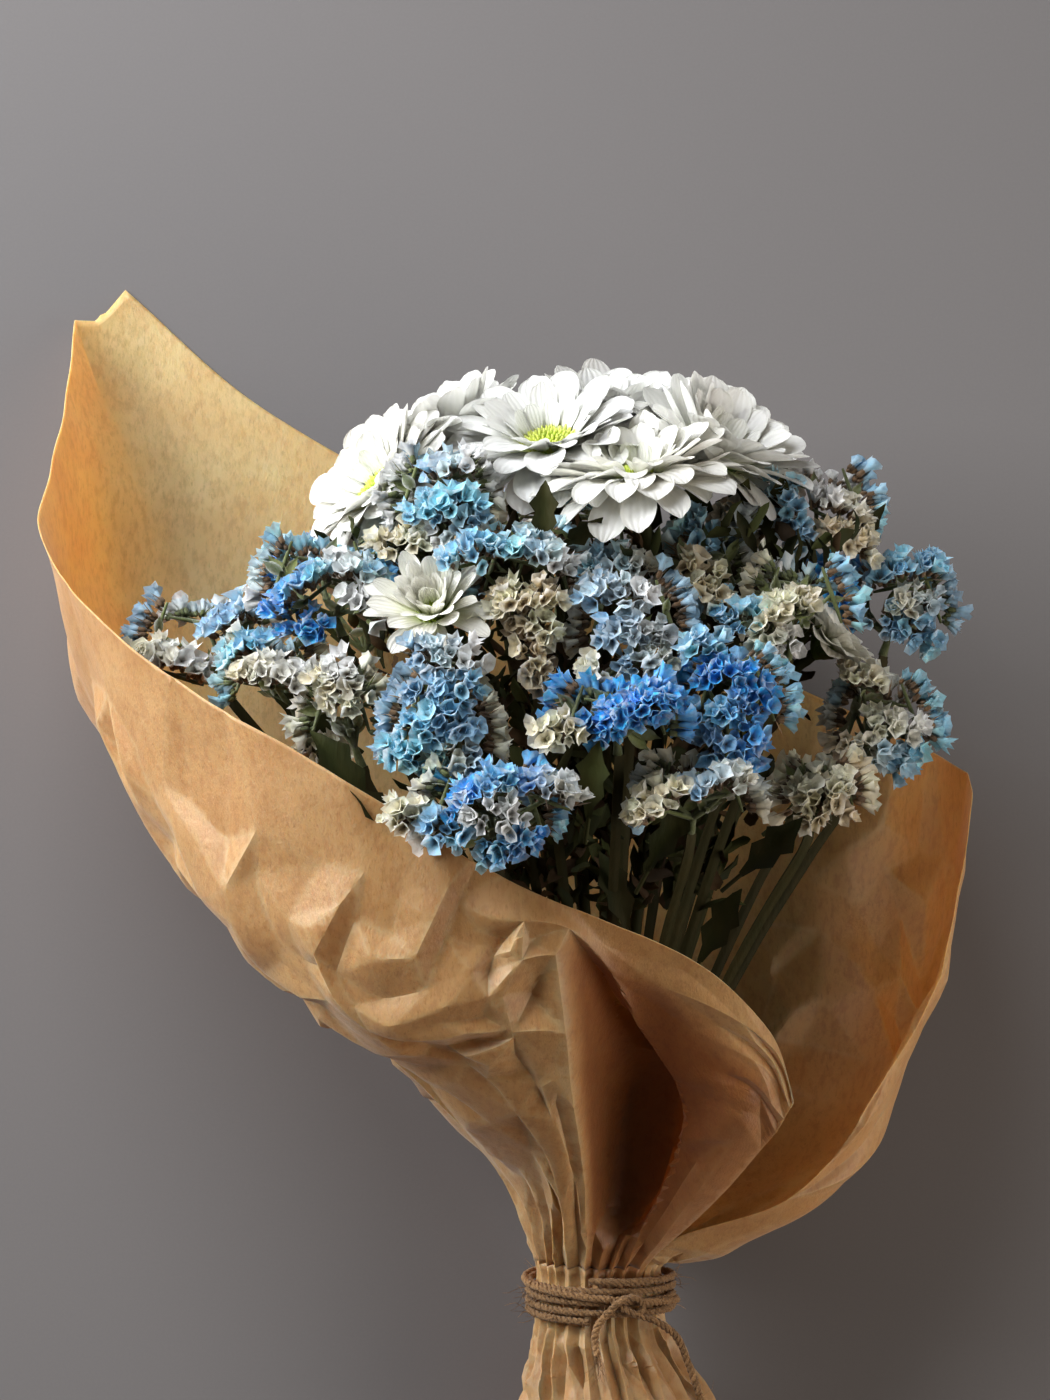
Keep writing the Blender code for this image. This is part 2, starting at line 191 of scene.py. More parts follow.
def attribute(tree, name, output="Color"):
    made = tree.nodes.new("ShaderNodeAttribute")
    made.attribute_name = name
    return made.outputs[output]


def bump(tree, shader, height, distance):
    made = tree.nodes.new("ShaderNodeBump")
    made.inputs["Distance"].default_value = distance
    made.inputs["Strength"].default_value = 1.0
    tree.links.new(height, made.inputs["Height"])
    tree.links.new(made.outputs["Normal"], shader.inputs["Normal"])


def add(tree, first, second, kind="ADD"):
    made = tree.nodes.new("ShaderNodeMath")
    made.operation = kind
    for socket, value in zip(made.inputs, (first, second)):
        if isinstance(value, bpy.types.NodeSocket):
            tree.links.new(value, socket)
        else:
            socket.default_value = value
    return made.outputs["Value"]


def kraft_material(name, light, dark, fibre, mottle):
    """Kraft paper: cloudy tone, fibre flecks and the wear that whitens its creases."""
    made, tree, shader = shader_of(
        name, 0.5, Specular_IOR_Level=0.6, Sheen_Weight=0.2, Subsurface_Weight=0.85,
        Subsurface_Radius=(1.0, 0.62, 0.35), Subsurface_Scale=0.0024)
    clouds = ramp(tree, noise(tree, 32.0, 4.0), 0.35, 0.68)
    tone = mix(tree, clouds, light, dark)
    spots = ramp(tree, noise(tree, 330.0, 5.0, (1.0, 0.45, 1.0), 0.7), 0.47, 0.63, 0.0, mottle)
    tone = mix(tree, spots, tone, fibre)
    flecks = ramp(tree, noise(tree, 1100.0, 3.0, (1.0, 0.3, 1.0)), 0.58, 0.72, 0.0, 0.5)
    tone = mix(tree, flecks, tone, fibre)
    wear = attribute(tree, "streak", "Fac")
    tone = mix(tree, ramp(tree, wear, 0.0, 1.0, 0.0, 0.35), tone, tuple(c ** 0.6 for c in light))
    # The tint multiplies in painted shade on the front flap, its hollow and the tail, and painted light
    # on the back left wing.
    tone = mix(tree, 1.0, tone, attribute(tree, "tint"), "MULTIPLY")
    tree.links.new(tone, shader.inputs["Base Color"])
    fine = add(tree, noise(tree, 1500.0, 4.0, (1.0, 0.4, 1.0)), noise(tree, 260.0, 3.0))
    bump(tree, shader, fine, 0.00016)
    return made


# ---------------------------------------------------------------- meshes

class Shape:
    """Faces gathered in the bouquet's millimetres, with a tint and a streak value at each point."""

    def __init__(self):
        self.points, self.faces, self.tints, self.streaks = [], [], [], []
        self.count = 0

    def add(self, points, faces, tint, streak=0.0):
        points = np.asarray(points, float)
        self.points.append(points)
        self.faces.append(np.asarray(faces, int) + self.count)
        self.tints.append(np.broadcast_to(np.asarray(tint, float), (len(points), 3)))
        self.streaks.append(np.broadcast_to(np.asarray(streak, float), (len(points),)))
        self.count += len(points)

    def finish(self, name, materials, slot, replaces=()):
        """The object: it rides the bouquet's one body and stands for the CAD nodes it replaces."""
        points = np.vstack(self.points) @ LAY_TURN.T * MM + LAY_PLACE
        sizes = np.concatenate([np.full(len(f), f.shape[1]) for f in self.faces])
        corners = np.concatenate([f.ravel() for f in self.faces])
        mesh = bpy.data.meshes.new(name)
        mesh.vertices.add(len(points))
        mesh.vertices.foreach_set("co", points.ravel())
        mesh.loops.add(len(corners))
        mesh.loops.foreach_set("vertex_index", corners)
        mesh.polygons.add(len(sizes))
        mesh.polygons.foreach_set("loop_start", np.concatenate(([0], np.cumsum(sizes)[:-1])))
        mesh.update(calc_edges=True)
        tint = mesh.attributes.new("tint", "FLOAT_COLOR", "POINT")
        colours = np.hstack([np.vstack(self.tints), np.ones((len(points), 1))])
        tint.data.foreach_set("color", colours.ravel())
        streak = mesh.attributes.new("streak", "FLOAT", "POINT")
        streak.data.foreach_set("value", np.concatenate(self.streaks))
        mesh.shade_smooth()
        mesh.set_sharp_from_angle(angle=SHARP_FORM)
        for finish in materials:
            mesh.materials.append(finish)
        item = bpy.data.objects.new(name, mesh)
        bpy.context.scene.collection.objects.link(item)
        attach(item, "root")
        if replaces:
            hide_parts(*replaces)
        return item


# ---------------------------------------------------------------- the kraft paper

NECK_OUTER = 23.5
NECK_LEVELS = (-13.0, -2.0, 9.0)
# Rings of the paper tail: place along the axis, centre to the right, radius
TAIL_RINGS = ((-95.0, 8.0, 38.0), (-68.0, 7.0, 36.5), (-42.0, 6.0, 33.5), (-24.0, 2.0, 26.0))
# The sheet's meridians, as the CAD has them: the angle at the neck from x towards f, three points
# up the sheet, the point on its free edge, and whether the edge turns a corner there
MERIDIANS = (
    (48, (31, 27, 36), (54, 56, 60), (62, 70, 70), (65, 78, 74), False),
    (60, (25, 34, 42), (44, 67, 68), (54, 87, 76), (55, 98, 78), False),
    (76, (17, 37, 36), (30, 71, 56), (36, 101, 76), (36, 117, 84), False),
    (90, (6, 38, 29), (9, 78, 48), (9, 116, 76), (5, 134, 92), False),
    (107, (-8, 42, 44), (-14, 81, 76), (-20, 126, 94), (-25, 146, 97), False),
    (120, (-15, 42, 46), (-28, 78, 76), (-48, 114, 93), (-48, 158, 97), False),
    (133, (-20, 42, 42), (-45, 77, 67), (-80, 108, 86), (-78, 177, 93), False),
    (146, (-25, 41, 34), (-57, 75, 54), (-108, 119, 74), (-109, 195, 84), False),
    (160, (-29, 40, 20), (-65, 77, 34), (-136, 139, 50), (-140, 212, 66), False),
    (175, (-34, 39, 4), (-72, 80, 10), (-161, 170, 21), (-176, 238, 38), False),
    (190, (-36, 38, -12), (-74, 80, -16), (-178, 196, -14), (-201, 268, 0), False),
    (205, (-33, 37, -28), (-73, 80, -42), (-180, 209, -50), (-203, 294, -48), False),
    (217, (-29, 36, -42), (-65, 82, -62), (-170, 213, -86), (-202, 329, -92), False),
    (228, (-22, 36, -50), (-56, 82, -72), (-141, 208, -98), (-203, 357, -120), True),
    (238, (-16, 36, -54), (-44, 82, -76), (-122, 213, -102), (-184, 370, -130), True),
    (250, (-8, 36, -57), (-29, 82, -76), (-97, 213, -102), (-134, 326, -125), False),
    (270, (5, 35, -58), (2, 80, -76), (-45, 205, -100), (-64, 285, -116), False),
    (290, (18, 34, -56), (28, 79, -75), (12, 190, -97), (10, 248, -108), False),
    (308, (28, 31, -50), (52, 73, -72), (63, 163, -90), (71, 217, -100), False),
    (325, (36, 27, -40), (76, 67, -58), (103, 141, -72), (111, 198, -80), False),
    (345, (45, 19, -24), (94, 55, -30), (122, 117, -36), (136, 182, -34), True),
    (365, (50, 14, -4), (96, 49, -2), (124, 115, -8), (133, 168, -8), False),
    (385, (42, 14, 14), (86, 41, 18), (115, 99, 10), (127, 142, 6), False),
    (408, (25, 20, 26), (66, 36, 28), (98, 72, 22), (120, 112, 16), False),
)
SIDES = len(MERIDIANS) - 1
NECK_ROW = len(TAIL_RINGS) + len(NECK_LEVELS) - 1   # the row at the top of the neck
EDGE_ROW = NECK_ROW + 4                              # the row of the free edge
PAPER_THICK = 0.35


def sheet_rows():
    """The sheet's control points: a row for each level from the tail to the free edge."""
    turns = [math.radians(m[0]) for m in MERIDIANS]
    rows = []
    for a, shift, radius in TAIL_RINGS:
        rows.append([(shift + radius * math.cos(t), a, radius * math.sin(t)) for t in turns])
    for a in NECK_LEVELS:
        rows.append([(NECK_OUTER * math.cos(t), a, NECK_OUTER * math.sin(t)) for t in turns])
    for level in (1, 2, 3, 4):
        rows.append([m[level] for m in MERIDIANS])
    return np.array(rows, float)


def spans(rows):
    """Four control points for each span of each row, with the free edge's corners kept sharp."""
    corners = {i for i, m in enumerate(MERIDIANS) if m[5]}
    out = np.empty((len(rows), SIDES, 4, 3))
    for r, row in enumerate(rows):
        sharp = corners if r == len(rows) - 1 else set()
        for i in range(SIDES):
            here, there = row[i], row[i + 1]
            before = row[i - 1] if i > 0 and i not in sharp else 2 * here - there
            more = i + 1 < SIDES and i + 1 not in sharp
            after = row[i + 2] if more else 2 * there - here
            out[r, i] = (before, here, there, after)
    return np.concatenate([[2 * out[0] - out[1]], out, [2 * out[-1] - out[-2]]])


SPANS = spans(sheet_rows())


def weights(t):
    """Catmull-Rom weights of four points at t between the middle two."""
    return 0.5 * np.stack([-t ** 3 + 2 * t ** 2 - t, 3 * t ** 3 - 5 * t ** 2 + 2,
                           -3 * t ** 3 + 4 * t ** 2 + t, t ** 3 - t ** 2], axis=-1)


def sheet(u, v):
    """The uncreased sheet at u, counted in meridians, and v, counted in rows."""
    u, v = np.clip(u, 0, SIDES), np.clip(v, 0, EDGE_ROW)
    side = np.minimum(u.astype(int), SIDES - 1)
    row = np.minimum(v.astype(int), EDGE_ROW - 1)
    across, along = weights(u - side), weights(v - row)
    lines = [np.einsum("nk,nkc->nc", across, SPANS[row + j, side]) for j in range(4)]
    return np.einsum("nj,jnc->nc", along, np.array(lines))


def sheet_normals(u, v):
    step = 0.02
    du = sheet(u + step, v) - sheet(u - step, v)
    dv = sheet(u, v + step) - sheet(u, v - step)
    normal = np.cross(du, dv)
    length = np.linalg.norm(normal, axis=1, keepdims=True)
    return normal / np.maximum(length, 1e-9)


def unroll():
    """The cone of the sheet laid flat as a sector: the angle for each u, the radius for each v."""
    us = np.linspace(0, SIDES, 10 * SIDES + 1)
    vs = np.linspace(NECK_ROW, EDGE_ROW, 41)
    grid = np.array([sheet(us, np.full(len(us), v)) for v in vs])
    widths = np.linalg.norm(np.diff(grid, axis=1), axis=2)
    climbs = np.linalg.norm(np.diff(grid, axis=0), axis=2).mean(axis=1)
    reach = np.concatenate(([0.0], np.cumsum(climbs)))
    spread, start = np.polyfit(reach, widths.sum(axis=1), 1)
    middle = widths[int(0.68 * len(vs))]
    angles = np.concatenate(([0.0], np.cumsum(middle))) / middle.sum() * spread
    return us, angles, vs, reach + start / spread


FLAT_U, FLAT_ANGLE, FLAT_V, FLAT_RADIUS = unroll()


def cone_flat(u, v):
    """Where a point of the cone lies on the flat sector, in millimetres."""
    angle = np.interp(u, FLAT_U, FLAT_ANGLE) - FLAT_ANGLE[-1] / 2
    radius = np.interp(v, FLAT_V, FLAT_RADIUS)
    radius = radius + np.maximum(0, np.asarray(v) - EDGE_ROW) * 40.0
    return np.stack([radius * np.sin(angle), radius * np.cos(angle)], axis=-1)


def cone_unflat(points):
    radius = np.hypot(points[:, 0], points[:, 1])
    angle = np.arctan2(points[:, 0], points[:, 1]) + FLAT_ANGLE[-1] / 2
    return np.interp(angle, FLAT_ANGLE, FLAT_U), np.interp(radius, FLAT_RADIUS, FLAT_V)


TAIL_WIDTH = 200.0                  # of the flat tail, about its width half way down
TAIL_A = np.array([r[0] for r in TAIL_RINGS] + list(NECK_LEVELS))
NECK_ANGLES = np.array([m[0] for m in MERIDIANS], float)


def tail_flat(u, v):
    angle = np.interp(u, np.arange(SIDES + 1), NECK_ANGLES)
    return np.stack([(angle - NECK_ANGLES[0]) / 360 * TAIL_WIDTH,
                     np.interp(v, np.arange(NECK_ROW + 1), TAIL_A)], axis=-1)


def tail_unflat(points):
    angle = points[:, 0] / TAIL_WIDTH * 360 + NECK_ANGLES[0]
    return (np.interp(angle, NECK_ANGLES, np.arange(SIDES + 1)),
            np.interp(points[:, 1], TAIL_A, np.arange(NECK_ROW + 1)))


class Creases:
    """Points of a flat sheet with a height each, and folds between them."""

    def __init__(self, flat):
        self.flat, self.points, self.heights, self.folds = flat, [], [], []

    def point(self, u, v, height):
        self.points.append(self.flat(u, v))
        self.heights.append(height)
        return len(self.points) - 1

    def fold(self, places):
        """A folded line through (u, v, height) places."""
        ends = [self.point(*place) for place in places]
        self.folds += list(zip(ends, ends[1:]))

    def scatter(self, rng, tries, size):
        """Random crease points: size(u, v) says how far apart and how high they are at most."""
        for u, v in tries:
            spacing, height = size(u, v)
            near = np.linalg.norm(np.array(self.points) - self.flat(u, v), axis=1).min()
            if near > spacing:
                self.point(u, v, height * rng.choice((-1, 1)) * rng.uniform(0.35, 1.0))

    def facets(self):
        """The triangles between the creases, as points with their heights for z."""
        flat = [Vector(p) for p in self.points]
        found = delaunay_2d_cdt(flat, self.folds, [], 0, 1e-5, True)
        points, edges, faces, origins = found[0], found[1], found[2], found[3]
        heights = []
        for place, sources in zip(points, origins):
            known = [self.heights[i] for i in sources]
            heights.append(known[0] if known else self.between(place))
        return np.array([(*p, h) for p, h in zip(points, heights)]), edges, faces

    def between(self, place):
        """The height where two folds cross."""
        spots = np.linalg.norm(np.array(self.points) - np.array(place), axis=1)
        near = np.argsort(spots)[:2]
        return float(np.mean([self.heights[i] for i in near]))


def fold_strengths(points, edges, faces):
    """How sharply the facets turn at each edge, in radians."""
    normals = {}
    for face in faces:
        a, b, c = (points[i] for i in face)
        normal = np.cross(b - a, c - a)
        normal *= np.sign(normal[2]) / np.linalg.norm(normal)
        for i in range(3):
            normals.setdefault(frozenset((face[i], face[i - 1])), []).append(normal)
    strengths = []
    for edge in edges:
        pair = normals.get(frozenset(edge), [])
        turn = math.acos(max(-1.0, min(1.0, float(pair[0] @ pair[1])))) if len(pair) == 2 else 0.0
        strengths.append(turn)
    return strengths


def creased_patch(creases, lattice, border, inside, step):
    """Triangles that follow the creases: flat points, heights, wear and faces."""
    points, edges, faces = creases.facets()
    tree = BVHTree.FromPolygons([Vector(p) for p in points], faces)
    strengths = fold_strengths(points, edges, faces)
    spots, wear, links = [], [], []
    for (i, j), strength in zip(edges, strengths):
        a, b = points[i, :2], points[j, :2]
        parts = max(1, round(np.linalg.norm(b - a) / step))
        share = np.linspace(0, 1, parts + 1)[:, None]
        line = a + (b - a) * share
        if strength < FLAT_FOLD:
            continue
        kept = inside(line)
        first = len(spots)
        spots += list(line)
        wear += [strength] * len(line)
        links += [(first + k, first + k + 1) for k in range(parts) if kept[k] and kept[k + 1]]
    used = sorted({i for link in links for i in link})
    number = {old: new for new, old in enumerate(used)}
    spots = np.array([spots[i] for i in used])
    wear = np.array([wear[i] for i in used])
    links = [(number[i], number[j]) for i, j in links]
    ring = [(len(spots) + i, len(spots) + (i + 1) % len(border)) for i in range(len(border))]
    crowd = near_distances(lattice, np.vstack([spots, border]))
    lattice = lattice[crowd > 0.5 * step]
    flat = np.vstack([spots, border, lattice])
    found = delaunay_2d_cdt([Vector(p) for p in flat], links + ring, [], 0, 1e-4, True)
    places = np.array([tuple(p) for p in found[0]])
    triangles = np.array([f for f in found[2] if len(f) == 3])
    triangles = triangles[inside(places[triangles].mean(axis=1))]
    heights, rubbed = np.empty(len(places)), np.zeros(len(places))
    sources = [s[0] if s else -1 for s in found[3]]
    for i, (x, y) in enumerate(places):
        hit = tree.ray_cast(Vector((x, y, 99.0)), Vector((0, 0, -1)))[0]
        if hit is None:
            hit = tree.find_nearest(Vector((x, y, 0)))[0]
        heights[i] = hit.z
        if 0 <= sources[i] < len(wear):
            rubbed[i] = min(1.0, wear[sources[i]] / WORN_FOLD)
    heights = softened(heights, triangles, near_distances(places, border) > 0.3)
    used = np.unique(triangles)
    number = np.full(len(places), -1)
    number[used] = np.arange(len(used))
    return places[used], heights[used], rubbed[used], number[triangles]


def softened(heights, triangles, free):
    """Heights with their creases rounded a little, as paper folds, apart from held points."""
    total, count = np.zeros(len(heights)), np.zeros(len(heights))
    for i in range(3):
        for j in (i - 1, i - 2):
            np.add.at(total, triangles[:, i], heights[triangles[:, j]])
            np.add.at(count, triangles[:, i], 1)
    around_it = total / np.maximum(count, 1)
    return np.where(free, (1 - SOFTENING) * heights + SOFTENING * around_it, heights)


def near_distances(points, others):
    tree = KDTree(len(others))
    for i, p in enumerate(others):
        tree.insert((p[0], p[1], 0.0), i)
    tree.balance()
    return np.array([tree.find((p[0], p[1], 0.0))[2] for p in points])


PLEATS = 27
PRESSED_RIDGE, PRESSED_VALLEY = 0.4, -2.4   # heights of the pleats under the twine
SOFTENING = 0.45                    # how far a crease is drawn to the mean of what is round it
CONE_TRIES, TAIL_TRIES = 9000, 3000         # random places tried for small creases
TAIL_CREASES = (4.5, 4.4)           # spacing and greatest height of the tail's small creases
NECK_POINTS, RIM_POINTS = 119, 420  # round the neck, and along the free edge
CLIMB_POINTS, TAIL_LEVELS = 110, 48     # up the cone's sides, and up the tail
FLAT_FOLD = 0.06                    # radians: a weaker fold is left out of the mesh
WORN_FOLD = 0.6                     # radians: a fold this sharp is fully worn
SWELL_LENGTH, SWELL_HEIGHT = 34.0, 1.6      # of the soft swells between the creases
SHARP_PAPER, SHARP_FORM = math.radians(26), math.radians(75)    # edges that aren't shaded smooth
SHADED_PAPER = (0.52, 0.37, 0.18)   # what full shade leaves of red, green and blue
LIT_PAPER = (0.45, 0.36, 0.62)      # what full light adds to them
TAIL_SHADE = 0.35                   # share of the full shade on the tail
PAPER_STEP = 2.15                   # between the sheet's points on the creased front
WING_U, BACK_U = 18.0, 10.3         # where the right wing and the back begin
# Folds that show on the front: lines of (u, v, height over the smooth sheet)
FRONT_FOLDS = (
    ((8.3, 9.45, 0.0), (7.87, 9.37, 0.8), (7.53, 9.24, 2.4), (7.5, 9.1, 1.8), (7.55, 8.8, 0.6)),
    ((7.53, 9.24, 2.4), (7.2, 9.59, 0.6), (6.47, 9.6, -0.8), (6.0, 9.66, 0.4), (5.63, 9.6, -0.6),
     (5.12, 9.75, 1.8)),
    ((6.85, 9.28, -0.8), (6.2, 9.49, 2.8), (6.5, 9.2, 2.4), (6.38, 9.0, 1.8), (6.2, 8.75, 0.4)),
    ((6.06, 9.44, -1.0), (6.3, 9.14, -1.6), (6.2, 8.95, -1.2)),
    ((5.12, 9.75, 1.8), (5.25, 9.52, 2.4), (5.42, 9.28, 2.0), (5.35, 9.05, 0.2)),
    ((5.0, 9.66, -1.2), (5.12, 9.4, -1.8), (5.26, 9.2, -1.2)),
    ((5.12, 9.4, -1.8), (4.85, 9.1, 1.2), (4.75, 8.85, 2.4), (4.68, 8.45, 1.2), (4.5, 8.0, 1.8),
     (4.35, 7.5, 1.2), (4.2, 7.0, 1.6), (4.1, 6.5, 1.2)),
    ((5.0, 9.66, -1.2), (4.2, 9.42, 4.2), (4.3, 9.0, 3.8), (4.6, 8.8, 2.8)),
    ((4.9, 8.7, -0.4), (4.65, 8.5, 2.0), (4.8, 8.3, -0.8)),
    ((4.65, 8.02, 0.0), (4.2, 8.05, 3.0), (4.5, 7.7, 0.8)),
    ((4.2, 9.42, 4.6), (3.72, 9.42, 4.5), (3.95, 9.0, 5.5), (3.99, 8.4, 5.5), (3.99, 7.8, 4.5),
     (3.98, 7.2, 3.5), (3.95, 6.6, 2.0)),
    ((3.72, 9.42, 4.5), (3.3, 9.0, 5.0), (2.95, 8.62, 5.5), (2.6, 8.44, 5.0), (2.3, 8.28, 5.0),
     (2.05, 7.97, 4.5), (1.85, 7.6, 4.0), (1.75, 7.2, 3.0), (1.8, 6.7, 1.5)),
    ((3.66, 9.3, 2.0), (3.27, 8.82, -6.0), (2.97, 8.45, -10.0), (2.65, 8.28, -13.0),
     (2.38, 8.12, -14.0), (2.2, 7.9, -14.0), (2.05, 7.55, -13.0), (1.98, 7.2, -10.0),
     (2.0, 6.7, -6.0)),
    ((3.27, 8.82, -6.0), (2.92, 8.2, -7.0), (2.5, 7.8, -14.0), (2.45, 7.4, -14.0),
     (2.4, 7.0, -11.0), (2.45, 6.6, -6.0)),
    ((3.55, 9.1, -1.5), (3.38, 8.4, -4.0), (3.2, 7.8, -5.0), (3.2, 7.3, -4.5), (3.1, 6.7, -4.0)),
    ((3.72, 9.42, 4.5), (3.3, 9.45, 3.2), (2.6, 9.2, 4.4), (2.2, 8.8, 2.0), (1.6, 8.5, 1.6)),
    ((2.6, 9.2, 2.4), (1.9, 9.0, 0.5), (1.2, 8.9, 2.2), (0.5, 8.6, 0.8)),
    ((5.6, 8.3, -1.0), (5.3, 7.8, 2.4), (5.2, 7.3, -1.2), (5.0, 6.8, 2.0)),
    ((6.6, 8.1, 0.6), (6.1, 7.7, 2.6), (5.9, 7.3, -1.4), (5.6, 6.8, 1.8)),
    ((7.6, 8.2, -1.0), (7.1, 7.7, 2.2), (6.7, 7.1, -0.8)),
)


def crease_size(u, v):
    """How far apart the small creases lie, and how high they stand."""
    if 1.6 < u < 4.1 and v < 9.5:
        return 99.0, 0.0
    if v > 9.5:
        return 30.0, 0.9
    if u < 3.9:
        return (11.0, 1.8) if v < 7.2 else (11.0, 2.8)
    if u < BACK_U:
        patch = 1.0 + 0.45 * math.sin(2.9 * u + 1.3) * math.sin(5.3 * v + 0.4)
        if v < 7.3:
            return 7.0 * patch, 1.9
        return (10.5 * patch, 2.8) if v < 8.3 else (10.5 * patch, 3.3)
    if u < WING_U:
        return (20.0, 1.6) if v < 8.6 else (48.0, 0.7)
    return (13.0, 1.8) if v < 7.4 else (17.0, 2.6)


def pleat_places(rng):
    """Where the gathered pleats lie at the neck, as u of each ridge and of the valley after it."""
    turns = (np.arange(PLEATS) + 0.5 + rng.uniform(-0.28, 0.28, PLEATS)) / PLEATS
    angles = NECK_ANGLES[0] + 360 * turns
    ridges = np.interp(angles, NECK_ANGLES, np.arange(SIDES + 1))
    middles = 0.5 * (angles[1:] + angles[:-1]) + rng.uniform(-2.0, 2.0, PLEATS - 1)
    return ridges, np.interp(middles, NECK_ANGLES, np.arange(SIDES + 1))


def cone_creases(rng, ridges, valleys):
    made = Creases(cone_flat)
    for places, sign in ((ridges, 1), (valleys, -1)):
        for u in places:
            hollow = 1.55 < u < 4.15
            top = NECK_ROW + (0.5 if hollow else rng.uniform(0.55, 1.9))
            drift = rng.uniform(-0.12, 0.12)
            line = [(u, NECK_ROW, PRESSED_RIDGE if sign > 0 else PRESSED_VALLEY)]
            for share, height in ((0.3, 1.5), (0.65, 1.9), (1.0, 0.7)):
                v = NECK_ROW + share * (top - NECK_ROW)
                line.append((u + drift * share, v, sign * height * rng.uniform(0.3, 1.5)))
            made.fold(line)
    for line in FRONT_FOLDS:
        made.fold(line)
    for side in (0, SIDES):
        for v in np.linspace(NECK_ROW, EDGE_ROW + 0.3, 12):
            made.point(side, v, rng.uniform(-0.4, 0.4) if v > NECK_ROW else 0.0)
    for u in np.linspace(0, SIDES, 40):
        made.point(u, EDGE_ROW + 0.3, rng.uniform(-0.5, 0.5))
    inner, outer = FLAT_RADIUS[0], FLAT_RADIUS[-1]
    angle = rng.uniform(-0.5, 0.5, CONE_TRIES) * FLAT_ANGLE[-1]
    radius = np.sqrt(rng.uniform(inner ** 2, outer ** 2, CONE_TRIES))
    tries = np.stack([radius * np.sin(angle), radius * np.cos(angle)], axis=-1)
    made.scatter(rng, zip(*cone_unflat(tries)), crease_size)
    return made


def tail_creases(rng, ridges, valleys):
    """Pleats that run down the tail, pressed flat under the twine and crumpled below it."""
    made = Creases(tail_flat)
    levels = (6.0, 5.0, 4.0, 3.45, 3.0, 2.6, 2.15, 1.7, 1.25, 0.8, 0.4, 0.0)
    for places, sign in ((ridges, 1), (valleys, -1)):
        for u in places:
            wander = 0.0
            line = []
            for v in levels:
                if v > 3.9:
                    height = PRESSED_RIDGE if sign > 0 else PRESSED_VALLEY
                else:
                    wander += rng.uniform(-0.09, 0.09)
                    height = sign * rng.uniform(0.0, 4.2)
                jog = rng.uniform(-0.12, 0.12) if 0 < v < 3.9 else 0.0
                line.append((u + wander, v + jog, height))
            made.fold(line)
    for side in (0, SIDES):
        for v in levels:
            made.point(side, v, 0.0)
    tries = np.stack([rng.uniform(0.2, SIDES - 0.2, TAIL_TRIES),
                      rng.uniform(0.0, 3.6, TAIL_TRIES)], axis=-1)
    made.scatter(rng, tries, lambda u, v: TAIL_CREASES)
    return made


def around(lines):
    """Points along a closed chain of lines, without the repeated ends."""
    return np.vstack([line[:-1] for line in lines])


def cone_lattice(rng):
    """Points all over the flat cone, close together where creases show."""
    us = np.linspace(0, SIDES, 700)
    lines = []
    rows = np.arange(FLAT_RADIUS[0] + PAPER_STEP, FLAT_RADIUS[-1] - 0.6 * PAPER_STEP, PAPER_STEP)
    for k, radius in enumerate(rows):
        v = np.interp(radius, FLAT_RADIUS, FLAT_V)
        row = sheet(us, np.full(len(us), v))
        steps = np.linalg.norm(np.diff(row, axis=0), axis=1)
        middle = 0.5 * (us[1:] + us[:-1])
        hidden = (middle > BACK_U) & (middle < WING_U)
        per = np.where(hidden, PAPER_STEP * 1.7, PAPER_STEP)
        if k % 2:
            steps = np.where(hidden, 0.0, steps)
        count = np.concatenate(([0.0], np.cumsum(steps / per)))
        wanted = np.arange(rng.uniform(0.3, 0.9), count[-1] - 0.3)
        u = np.interp(wanted, count, us)
        lines.append(cone_flat(u, np.full(len(u), v)))
    return np.vstack(lines)


def patch_border(flat, low_us, high_us, levels):
    """The border of a patch: along its low edge, up one side, back along the top and down."""
    ends = np.full(len(levels), SIDES)
    return around([flat(low_us, np.full(len(low_us), levels[0])), flat(ends, levels),
                   flat(high_us, np.full(len(high_us), levels[-1])),
                   flat(np.zeros(len(levels)), levels[::-1])])


def cone_patch(rng, ridges, valleys, neck_us):
    """The creased cone, from the top of the neck to the free edge."""
    half = FLAT_ANGLE[-1] / 2

    def inside(p):
        radius, angle = np.hypot(p[..., 0], p[..., 1]), np.arctan2(p[..., 0], p[..., 1])
        return ((radius > FLAT_RADIUS[0] - 1e-3) & (radius < FLAT_RADIUS[-1])
                & (abs(angle) < half + 1e-6))

    border = patch_border(cone_flat, neck_us, np.linspace(SIDES, 0, RIM_POINTS),
                          np.linspace(NECK_ROW, EDGE_ROW, CLIMB_POINTS))
    creases = cone_creases(rng, ridges, valleys)
    return creased_patch(creases, cone_lattice(rng), border, inside, PAPER_STEP)


def tail_patch(rng, ridges, valleys, neck_us):
    """The creased tail and neck, from the cut edge to the top of the neck."""
    def inside(p):
        return ((p[..., 0] > -1e-3) & (p[..., 0] < TAIL_WIDTH + 1e-3)
                & (p[..., 1] > TAIL_A[0] - 1e-3) & (p[..., 1] < TAIL_A[-1] + 1e-3))

    levels = np.linspace(0, NECK_ROW, TAIL_LEVELS)
    lattice = []
    for k, v in enumerate(levels[1:-1]):
        u = np.interp(np.arange(1, NECK_POINTS - 1) + 0.5 * (k % 2), np.arange(NECK_POINTS), neck_us)
        lattice.append(tail_flat(u, np.full(len(u), v)))
    border = patch_border(tail_flat, neck_us, neck_us[::-1], levels)
    return creased_patch(tail_creases(rng, ridges, valleys), np.vstack(lattice), border, inside,
                         PAPER_STEP)


